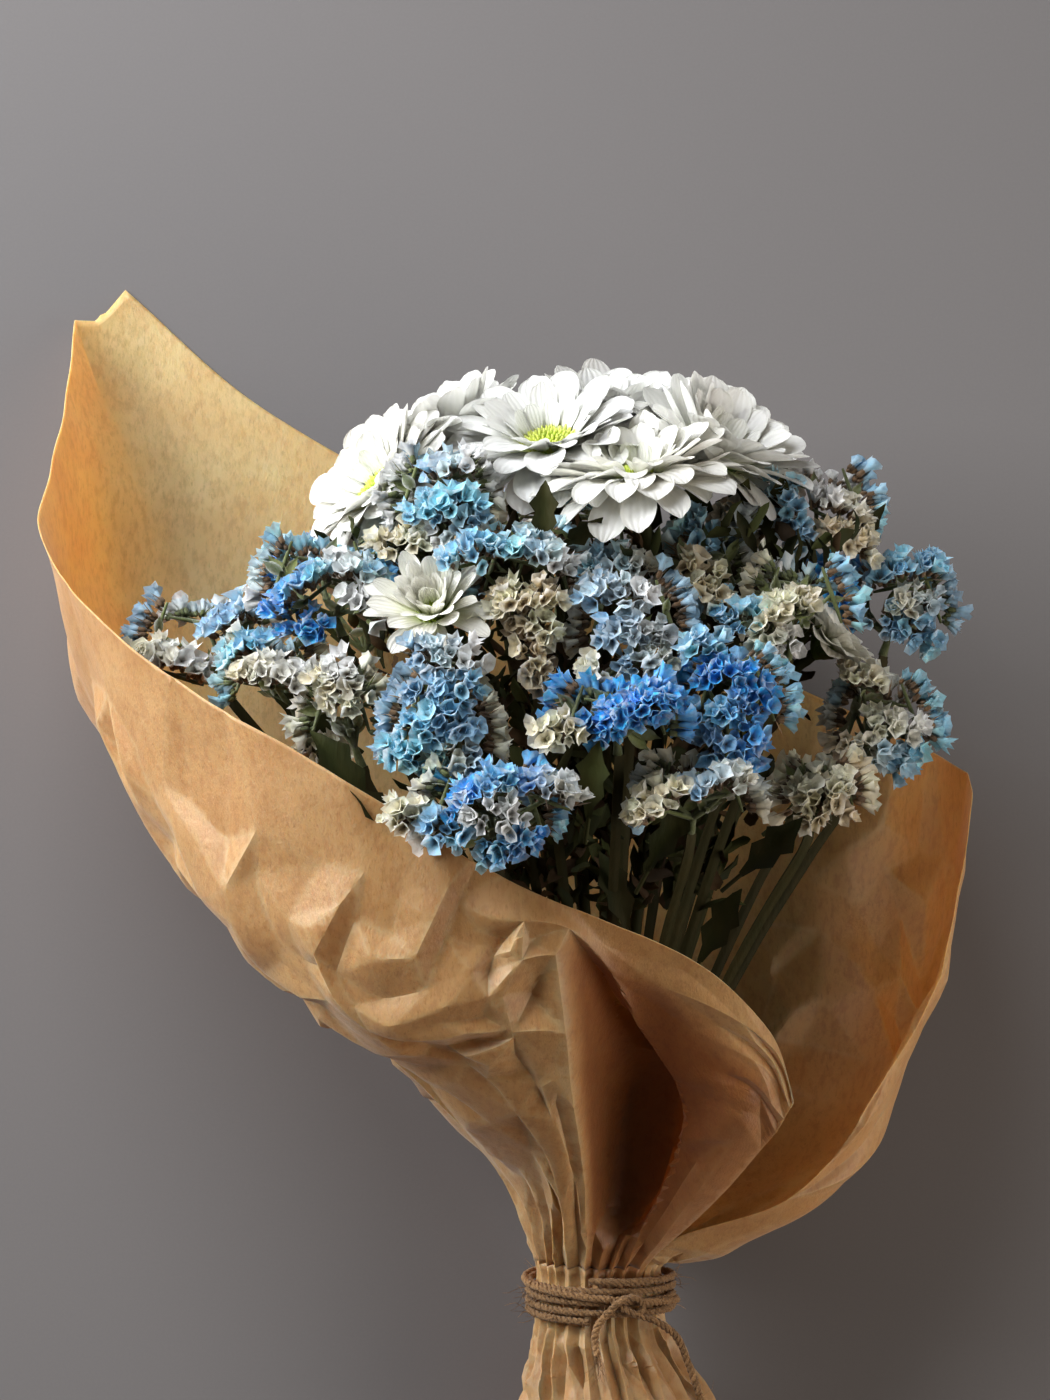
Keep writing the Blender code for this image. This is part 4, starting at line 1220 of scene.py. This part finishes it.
def florets(shape, rng, places, ways, sizes, rims, bases):
    """Papery funnels on bracts, one at each place, that open along its way."""
    count, n = len(places), FLORET_SIDES
    ways = frames_along(ways)
    sizes = sizes[:, None, None]
    angles = math.tau * np.arange(n) / n + rng.uniform(0, math.tau, (count, 1))
    lobes = np.cos(5 * (angles - angles[:, :1]) + rng.uniform(0, math.tau, (count, 1)))
    pleat = np.where(np.arange(n) % 2, 1.0, -1.0) * rng.uniform(0.4, 1.3, (count, n))
    ruffle = rng.uniform(-1, 1, (count, n))
    squash = rng.uniform(0.0, 0.45, (count, 1))
    oval = 1 + squash * np.cos(2 * angles + rng.uniform(0, math.tau, (count, 1)))
    radius, long = FLORET * sizes, FLORET_LONG * sizes
    flare = rng.uniform(0.68, 1.1, (count, 1))
    radii = np.concatenate([
        radius * 0.20 * np.ones((count, 1, n)),
        radius * (0.52 * oval + 0.03 * pleat)[:, None],
        radius * ((flare + 0.05 * lobes + 0.09 * ruffle) * oval + 0.12 * pleat)[:, None],
        radius * (0.60 * oval + 0.08 * pleat)[:, None]], axis=1)
    heights = np.concatenate([
        long * 0.36 * np.ones((count, 1, n)), long * 0.70 * np.ones((count, 1, n)),
        long * (0.95 + 0.08 * np.roll(lobes, 2, axis=1) + 0.03 * pleat
                + 0.08 * np.roll(ruffle, 1, axis=1))[:, None],
        long * 0.78 * np.ones((count, 1, n))], axis=1)
    ringed = rings_points(places, ways, angles, radii, heights).reshape(count, -1, 3)
    tips = places[:, None]
    throats = places[:, None] + ways[2][:, None] * long * 0.52
    points = np.concatenate([tips, ringed, throats], axis=1)
    pale = 0.75 * rims + 0.25 * np.array((0.66, 0.60, 0.46))
    # Paler streaks on the outward pleats: the papery rim's own streaks, and partly painted highlight on
    # the pleat ridges.
    streaks = (np.clip(pleat, 0, 1) * rng.uniform(0, 1, (count, n)) ** 2 * 0.7)[..., None]
    edge = rims[:, None] * rng.uniform(0.8, 1.12, (count, 1, 1))
    edge = edge * (1 - streaks) + (0.4 * edge + np.array((0.50, 0.53, 0.53))) * streaks
    # The inner ring is painted a tenth darker and the throat darker still: painted shade inside the
    # funnel.
    tint = np.concatenate([
        bases[:, None], np.repeat((0.5 * bases + 0.5 * pale)[:, None], n, axis=1),
        0.5 * pale[:, None] + 0.5 * edge, edge, edge * 0.9,
        (0.5 * bases + 0.12 * rims)[:, None]], axis=1)
    shape.add(points.reshape(-1, 3), repeat_faces(FUNNEL, count, 4 * n + 2), tint.reshape(-1, 3))
    spindles(shape, rng, places, ways, BRACT_SIDES, FLORET * 0.34 * sizes, long * 0.62, bases,
             BRACT)
    lean = frames_along(ways[2] + rng.normal(0, 0.33, (count, 3)))
    tans = bases * rng.uniform(0.8, 1.9, (count, 1))
    spindles(shape, rng, places, lean, BRISTLE_SIDES, FLORET * 0.10 * sizes, long * 0.85, tans,
             BRISTLE)


def spindles(shape, rng, places, ways, sides, radius, long, tints, faces):
    count = len(places)
    angles = math.tau * np.arange(sides) / sides + rng.uniform(0, math.tau, (count, 1))
    one = np.ones((count, 1, sides))
    ringed = rings_points(places, ways, angles,
                          np.concatenate([radius * one, radius * 0.9 * one], axis=1),
                          np.concatenate([long * 0.25 * one, long * 0.6 * one], axis=1))
    ends = places[:, None] + ways[2][:, None] * long
    points = np.concatenate([places[:, None], ringed.reshape(count, -1, 3), ends], axis=1)
    size = 2 * sides + 2
    shape.add(points.reshape(-1, 3), repeat_faces(faces, count, size),
              np.repeat(tints * rng.uniform(0.7, 1.25, (count, 1)), size, axis=0))


def crest(rng, rows, start, end, facing, first, last, base):
    """Places, ways, sizes and colours of the florets of one crest, and the crest's spine."""
    start, end, facing = np.array(start, float), np.array(end, float), unit(facing)
    along = end - start
    length = np.linalg.norm(along)
    along = unit(along)
    across = unit(np.cross(along, facing))
    facing = unit(np.cross(across, along) * 0.6 + facing * 0.4)
    middle = 0.5 * (start + end) - facing * FLORET_LONG * 0.9
    count = max(3, round(length / (FLORET * 1.05)) + 1)
    places, ways, shares = [], [], []
    for row in range(rows):
        turn = (row - 0.5 * (rows - 1)) * ROW_TURN
        for i in range(count):
            share = (i + 0.5 * (row % 2) + rng.uniform(-0.25, 0.25)) / count
            lean = (share - 0.5) * 1.15
            way = (facing * math.cos(turn) + across * math.sin(turn)) + along * lean
            way = way + rng.normal(0, 0.2, 3)
            arch = facing * length * 0.10 * (1 - 4 * (share - 0.5) ** 2)
            place = middle + along * (share - 0.5) * length * 0.72 + arch
            places.append(place + across * math.sin(turn) * 2.2 + rng.normal(0, 0.7, 3))
            ways.append(way)
            shares.append(share + rng.normal(0, 0.12))
    shares = np.clip(shares, 0, 1)[:, None]
    rims = np.array(first) * (1 - shares) + np.array(last) * shares
    rims = np.minimum(rims * rng.uniform(0.92, 1.3, (len(rims), 1)), 0.95)
    bases = np.array(base) * rng.uniform(0.6, 1.3, (len(rims), 1))
    sizes = rng.uniform(0.72, 1.22, len(rims))
    spine = [middle + along * s * length * 0.36 for s in (-1, 0, 1)]
    return np.array(places), np.array(ways), sizes, rims, bases, spine


def hidden_crests(rng, name, low, high):
    """Crests that close a spray at its back and sides, from its box in bouquet millimetres."""
    centre, half = 0.5 * (low + high), 0.5 * (high - low)
    shown = CRESTS[name]
    if shown:
        colours = [c[3] for c in shown] + [c[4] for c in shown]
        ways = ((0.0, 0.5, -0.8), (0.85, 0.2, -0.4), (-0.85, 0.2, -0.4))
    else:
        colours = BACK_COLOURS[name]
        ways = ((0.0, 0.9, -0.4), (0.7, 0.6, -0.4), (-0.7, 0.6, -0.4), (0.0, 0.2, -1.0),
                (0.9, 0.1, 0.2), (-0.9, 0.1, 0.2), (0.1, 0.8, 0.6))
    made = []
    for way in ways:
        way = unit(way)
        spot = centre + way * half * 0.86
        tangent = unit(np.cross(way, (0.15, 0.2, 1.0) if abs(way[0]) < 0.5 else (0.0, 0.2, 1.0)))
        reach = 0.5 * abs(tangent) @ half
        pick = [colours[i] for i in rng.integers(0, len(colours), 2)]
        base = BROWN if rng.uniform() < 0.7 else GREEN
        made.append((spot - tangent * reach, spot + tangent * reach, way, *pick, base))
    return made


def bouquet_box(node):
    """The box of a CAD node's points in bouquet millimetres."""
    points = bouquet_points(node)
    return points.min(axis=0), points.max(axis=0)


def bouquet_points(node):
    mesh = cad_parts[node].data
    points = np.empty(len(mesh.vertices) * 3)
    mesh.vertices.foreach_get("co", points)
    world = points.reshape(-1, 3) @ np.array(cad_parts[node].matrix_world.to_3x3()).T
    world = world + np.array(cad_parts[node].matrix_world.translation)
    return (world - LAY_PLACE) @ LAY_TURN / MM


def stem_line(node):
    """The middle of each ring of a CAD stem, from its cut end to its head."""
    points = np.unique(np.round(bouquet_points(node), 3), axis=0)
    points = points[np.argsort(points[:, 1])]
    rings = np.split(points, len(points) // CAD_STEM_SIDES)
    return np.array([ring.mean(axis=0) for ring in rings])


def statice(name):
    rng = np.random.default_rng(int(name) + SPRAY_SEED)
    node = f"statice_{name}_spray"
    low, high = bouquet_box(node)
    foot = stem_line(f"statice_{name}_stem")[-1]
    shape = Shape()
    hidden = hidden_crests(rng, name, low, high)
    lists = [crest(rng, SHOWN_ROWS, *row) for row in CRESTS[name]]
    lists += [crest(rng, HIDDEN_ROWS, *row) for row in hidden]
    places, ways, *rest = (np.concatenate([c[i] for c in lists]) for i in range(5))
    feet, tips = places.copy(), places + ways * FLORET_LONG
    for spots in (feet, tips):
        places[:, 2] += np.maximum(0, surface_height(spots[:, 1]) + FLORET_CLEAR - spots[:, 2])
    florets(shape, rng, places, ways, *rest)
    fork = foot + (0.5 * (low + high) - foot) * 0.35
    tube(shape, smooth_line([foot, fork], 3), (1.7, 1.5, 1.3, 1.2), GREEN, 6)
    for *_, spine in lists:
        twig(shape, rng, fork, spine)
    return shape.finish(f"statice_{name}_flowers", [finishes()["papery"]], "statice_flowers", [node])


def twig(shape, rng, fork, spine):
    """A side branch from the fork to a crest, with a few dry scales on it."""
    middle = spine[1]
    bend = 0.5 * (fork + middle) + rng.normal(0, 1.5, 3)
    green = np.array(GREEN) * rng.uniform(0.7, 1.3)
    tube(shape, smooth_line([fork, bend, middle], 3), np.linspace(1.1, 0.7, 7), green, 5)
    tube(shape, smooth_line(spine, 2), (0.5, 0.8, 0.9, 0.8, 0.5), green, 5)
    way = unit(middle - fork)
    for _ in range(3):
        share = rng.uniform(0.35, 1.0)
        out = unit(way + rng.normal(0, 0.6, 3))
        place = fork + (bend - fork) * share if share < 0.7 else bend + (middle - bend) * share
        side, lift, _ = frame_along(out)
        scale = rng.uniform(0.7, 1.3)
        tint = green * (1.0 + rng.uniform(0, 1.4))
        blade(shape, LEAF, place, (side, lift, out), 9.0 * scale,
              3.4 * scale, lambda t: np.sin(math.pi * (0.1 + 0.88 * t)) ** 0.9,
              lambda t: 0.5 * t, lambda t, s: 0.35 * s ** 2, 0.25,
              plain_tints(tint))


# ---------------------------------------------------------------- stems and leaves

STEM_SIDES = 12
SCRAPS = 1200                       # small dry leaves and bracts under the flower heads
# The stems' own greens, darkened nearly to black as painted shade among the stems.
STEM_GREEN_AND_SHADE = np.array((0.026, 0.030, 0.006))
STALK_GREEN_AND_SHADE = np.array((0.036, 0.034, 0.008))


def stem(name, kind):
    node = f"{name}_stem"
    rng = np.random.default_rng(sum(map(ord, node)))
    line = smooth_line(stem_line(node), 4)
    angles = math.tau * np.arange(STEM_SIDES) / STEM_SIDES
    if kind == "statice":
        section = 0.62 + 0.38 * np.maximum(0, np.cos(3 * angles)) ** 1.5
        radius, tint, twist = 2.2, STALK_GREEN_AND_SHADE, 0.03
    else:
        section = 1.0 - 0.07 * (np.arange(STEM_SIDES) % 2)
        radius, tint, twist = 2.4, STEM_GREEN_AND_SHADE, 0.01
    swell = 1 + 0.05 * np.sin(np.arange(len(line)) * 1.7 + rng.uniform(0, 6))
    shape = Shape()
    shade = tint * rng.uniform(0.7, 1.25)
    tube(shape, line, radius * swell * 0.96, shade, STEM_SIDES, section, twist,
         rng.uniform(0, 1))
    return shape.finish(f"{name}_stalk", [finishes()["green"]], "green_stem", [node])


# Leaves: foot, direction, way its face looks, length, width
LEAVES = (
    ((-80, 172, 70), (-0.5, 0.75, 0.1), (0.2, 0.3, 0.9), 34, 13),
    ((-66, 160, 84), (-0.6, 0.6, 0.2), (0.3, 0.4, 0.8), 30, 12),
    ((-20, 262, 62), (0.0, 0.95, 0.1), (-0.2, -0.1, 1.0), 22, 10),
    ((-14, 262, 56), (0.75, 0.6, 0.2), (0.1, -0.3, 0.9), 18, 9),
    ((-6, 170, 96), (0.2, 0.95, 0.1), (-0.4, 0.0, 0.9), 27, 12),
    ((14, 152, 84), (0.5, 0.85, 0.1), (-0.2, 0.2, 0.9), 30, 11),
    ((46, 150, 70), (0.75, 0.6, 0.1), (0.0, 0.3, 0.9), 32, 12),
    ((62, 168, 44), (0.75, 0.6, 0.0), (0.1, 0.2, 1.0), 30, 12),
    ((-90, 196, 40), (-0.8, 0.5, 0.2), (0.1, 0.4, 0.9), 30, 12),
    ((84, 262, 0), (0.6, 0.75, 0.2), (0.2, -0.4, 0.8), 26, 10),
    ((26, 262, 24), (0.3, 0.9, 0.0), (0.1, -0.1, 1.0), 30, 14),
    ((40, 258, 10), (0.4, 0.9, 0.0), (-0.1, 0.0, 1.0), 34, 15),
    ((60, 262, 4), (0.1, 0.95, 0.0), (0.1, 0.1, 1.0), 30, 14),
    ((12, 262, 10), (0.2, 0.95, 0.0), (0.2, 0.0, 1.0), 34, 15),
    ((-96, 232, -30), (-0.8, 0.5, 0.1), (0.3, 0.6, -0.6), 34, 14),
    ((-10, 246, -46), (0.1, 0.9, -0.3), (0.0, 0.3, -1.0), 34, 14),
    ((60, 232, -40), (0.7, 0.6, -0.3), (0.2, 0.3, -0.9), 34, 14),
    ((-30, 120, 40), (-0.6, 0.75, 0.3), (0.4, 0.2, 0.9), 32, 12),
    ((34, 118, 30), (0.5, 0.85, 0.1), (0.0, 0.2, 1.0), 34, 12),
    ((8, 130, 62), (-0.3, 0.95, 0.1), (0.3, 0.1, 1.0), 30, 11),
)


def leaf_outline(t):
    lobes = 0.80 + 0.20 * np.cos(t * 19.0)
    return np.sin(math.pi * (0.06 + 0.92 * t)) ** 0.7 * (0.55 + 0.6 * np.sin(2.2 * t)) * lobes


def scrap(shape, rng):
    """A small dry leaf or bract somewhere among the stems under the flower heads."""
    height = rng.uniform(0.2, 1.0) ** 0.8
    turn, share = rng.uniform(0, math.tau), math.sqrt(rng.uniform(0.0, 0.8))
    middle = np.array((-4.0, 84.0 + 182.0 * height, 12.0 + 6.0 * height))
    reach = np.array((26 + 78 * height, 0.0, 17 + 28 * height))
    spot = np.array((math.cos(turn) * share, 0.0, math.sin(turn) * share))
    foot = middle + reach * spot
    way = unit(np.array((spot[0] * 0.6, 0.7, spot[2] * 0.5)) + rng.normal(0, 0.45, 3))
    ways = frame_along(way, rng.normal(0, 1, 3))
    long, wide = rng.uniform(8, 20), rng.uniform(3.5, 8)
    tint = np.array(BROWN if rng.uniform() < 0.35 else GREEN) * rng.uniform(0.15, 0.75)
    bend = rng.uniform(-1.4, 1.4)
    blade(shape, SCRAP, foot, ways, long, wide,
          leaf_outline, lambda t: bend * t, lambda t, s: 0.5 * abs(s) + 0.2 * np.sin(11 * t + s),
          0.3, plain_tints(tint), rng.uniform(-1, 1), 0.05)


def leaves():
    rng = np.random.default_rng(LEAF_SEED)
    shape = Shape()
    for _ in range(SCRAPS):
        scrap(shape, rng)
    for foot, way, face, length, width in LEAVES:
        out, lift = unit(way), unit(face)
        lift = unit(lift - out * (lift @ out))
        side = np.cross(lift, out)
        bend = rng.uniform(-0.5, 0.3)
        # The leaves take the stems' green with its painted shade.
        tint = STEM_GREEN_AND_SHADE * rng.uniform(0.7, 1.5)
        blade(shape, LEAF, np.array(foot, float), (side, lift, out),
              length, width, leaf_outline, lambda t: 0.25 + bend * t * 1.6,
              lambda t, s: 0.35 * abs(s) + 0.1 * np.sin(9 * t), 0.35,
              lambda t, s: tint * (1.35 - 0.45 * abs(s)[..., None]) + 0 * t[..., None],
              rng.uniform(-0.4, 0.4), 0.08)
        line = smooth_line([np.array(foot) - out * 9 - lift * 2, np.array(foot) + out * 2], 3)
        tube(shape, line, 0.8, tint, 5)
    return shape.finish("leaves", [finishes()["green"]], "green_stem")


# ---------------------------------------------------------------- the twine

TWINE_RADIUS, TWINE_PITCH, TWINE_TURNS = 1.4, 3.5, 4
TWINE_RING = NECK_OUTER + TWINE_RADIUS + 0.75
JUTE = np.array((0.42, 0.25, 0.11))
PLIES, PLY_RADIUS, LAY_LENGTH = 3, 0.78, 6.5
# The knot's loop and its two loose ends, as places from the knot in millimetres
KNOT_LOOP = ((-9, 4, -3), (-4, 2, 0), (1, -1, 1.5), (5, -3, 0), (7, 0, -1), (4, 3, 1),
             (-1, 2, 2.5), (-6, -3, 1))
LOOSE_ENDS = (((-6, -3, 1), (-9, -7, 1), (-10, -12, 1), (-9, -17, 3)),
              ((5, -3, 0), (12, -6, -3), (19, -12, -7), (23, -21, -8), (27, -32, -8)))
END_FIBRES, TURN_FIBRES = 22, 190


def plied(shape, rng, line):
    """A twine of plies twisted round each other along a line."""
    line = np.asarray(line, float)
    lengths = np.concatenate(([0.0], np.cumsum(np.linalg.norm(np.diff(line, axis=0), axis=1))))
    count = max(8, round(lengths[-1] / LAY_LENGTH * 7))
    at = np.linspace(0, lengths[-1], count)
    middle = np.stack([np.interp(at, lengths, line[:, k]) for k in range(3)], axis=1)
    ways = np.gradient(middle, axis=0)
    across, other, _ = frames_along(ways)
    for k in range(PLIES):
        turn = math.tau * (at / LAY_LENGTH + k / PLIES)
        wobble = 1 + rng.normal(0, 0.10, count)
        offset = ((np.cos(turn) * wobble)[:, None] * across
                  + (np.sin(turn) * wobble)[:, None] * other)
        tube(shape, middle + offset * PLY_RADIUS * 0.92, PLY_RADIUS * rng.uniform(0.86, 1.1, count),
             JUTE * rng.uniform(0.75, 1.2), 5)


def fuzz(shape, rng, place, way, length):
    """One stray fibre."""
    way = unit(way)
    points = [place]
    for _ in range(4):
        way = unit(way + rng.normal(0, 0.35, 3))
        points.append(points[-1] + way * length / 4)
    points = np.array(points)
    points[:, 2] = np.maximum(points[:, 2], surface_height(points[:, 1]) + 0.3)
    tube(shape, points, np.linspace(0.13, 0.05, 5), JUTE * rng.uniform(0.8, 1.5), 3)


def around_neck(turn, a, out=0.0):
    angle = math.tau * turn + math.radians(100)
    radius = TWINE_RING + out
    return np.array((radius * math.cos(angle), a, radius * math.sin(angle)))


def twine():
    rng = np.random.default_rng(TWINE_SEED)
    shape = Shape()
    start = -0.5 * TWINE_PITCH * TWINE_TURNS + TIE_MIDDLE
    turns = np.linspace(0, TWINE_TURNS, TWINE_TURNS * 36 + 1)
    plied(shape, rng, [around_neck(t, start + TWINE_PITCH * t + 0.35 * math.sin(5 * t))
                       for t in turns])
    cross = [around_neck(t, -8.0 + 11.5 * (0.5 - 0.5 * math.cos(math.tau * (t - 0.35) / 2.1)), 1.5)
             for t in np.linspace(0.35, 1.45, 44)]
    plied(shape, rng, cross)
    knot = around_neck(0.93, -3.0, 2.2)
    plied(shape, rng, smooth_line(knot + np.array(KNOT_LOOP), 8))
    for ends in LOOSE_ENDS:
        line = smooth_line(knot + np.array(ends), 8)
        plied(shape, rng, line)
        for _ in range(END_FIBRES):
            fuzz(shape, rng, line[-1] + rng.normal(0, 0.6, 3), line[-1] - line[-4], 12.0)
    for _ in range(TURN_FIBRES):
        t = rng.uniform(0, TWINE_TURNS)
        place = around_neck(t, start + TWINE_PITCH * t, 0.8)
        out = place * (1, 0, 1) / TWINE_RING
        fuzz(shape, rng, place, out * 0.5 + rng.normal(0, 0.8, 3), rng.uniform(3, 11))
    return shape.finish("jute_twine", [finishes()["jute"]], "jute_twine", ["twine_tie"])


# ---------------------------------------------------------------- finishes of the flowers

MADE = {}


def finishes():
    if not MADE:
        MADE["petal"] = petal_material()
        MADE["papery"] = papery_material()
        MADE["green"] = green_material()
        MADE["jute"] = jute_material()
    return MADE


def veins(tree, count):
    """Fine lines along a blade, from its streak, which runs from -1 to 1 across it."""
    wave = add(tree, attribute(tree, "streak", "Fac"), count, "MULTIPLY")
    wobble = add(tree, noise(tree, 260.0, 2.0), 2.5, "MULTIPLY")
    return add(tree, add(tree, wave, wobble), 0.0, "SINE")


def petal_material():
    made, tree, shader = shader_of(
        "chrysanthemum_petal", 0.5, Subsurface_Weight=0.45,
        Subsurface_Radius=(1.0, 1.0, 0.85), Subsurface_Scale=0.003)
    lines = ramp(tree, veins(tree, 16.0), -1.0, 1.0)
    colour = attribute(tree, "tint")
    shaded = mix(tree, 0.06, colour, (0.60, 0.66, 0.58), "MULTIPLY")
    colour = mix(tree, lines, shaded, colour)
    tree.links.new(colour, shader.inputs["Base Color"])
    bump(tree, shader, lines, 0.00012)
    return made


def papery_material():
    made, tree, shader = shader_of(
        "statice_paper", 0.75, Subsurface_Weight=0.6, Subsurface_Radius=(1.0, 1.0, 1.0),
        Subsurface_Scale=0.002, Sheen_Weight=0.15)
    blotches = ramp(tree, noise(tree, 420.0, 3.0), 0.35, 0.7)
    colour = attribute(tree, "tint")
    pale = mix(tree, 0.16, colour, (0.74, 0.74, 0.70))
    colour = mix(tree, add(tree, blotches, 0.5, "MULTIPLY"), colour, pale)
    tree.links.new(colour, shader.inputs["Base Color"])
    bump(tree, shader, noise(tree, 1400.0, 2.0), 0.0002)
    return made


def green_material():
    made, tree, shader = shader_of("dry_green", 0.7, Specular_IOR_Level=0.25)
    patches = ramp(tree, noise(tree, 120.0, 4.0, (1.0, 0.25, 1.0)), 0.4, 0.7)
    colour = attribute(tree, "tint")
    olive = mix(tree, 0.3, colour, (0.09, 0.06, 0.015))
    colour = mix(tree, patches, colour, olive)
    tree.links.new(colour, shader.inputs["Base Color"])
    bump(tree, shader, noise(tree, 500.0, 3.0, (1.0, 0.15, 1.0)), 0.0003)
    return made


def jute_material():
    made, tree, shader = shader_of("jute_fibre", 0.85, Sheen_Weight=0.2)
    strands = ramp(tree, noise(tree, 1300.0, 4.0), 0.35, 0.65)
    colour = attribute(tree, "tint")
    deep = mix(tree, 0.55, colour, (0.20, 0.12, 0.06), "MULTIPLY")
    colour = mix(tree, strands, deep, colour)
    tree.links.new(colour, shader.inputs["Base Color"])
    bump(tree, shader, strands, 0.0003)
    return made


def main():
    camera_and_light()
    stage_floor()
    twine()
    kraft_paper()
    for row in BLOOMS:
        bloom(*row)
        stem(row[0], "chrysanthemum")
    for name in CRESTS:
        statice(name)
        stem(f"statice_{name}", "statice")
    leaves()


main()
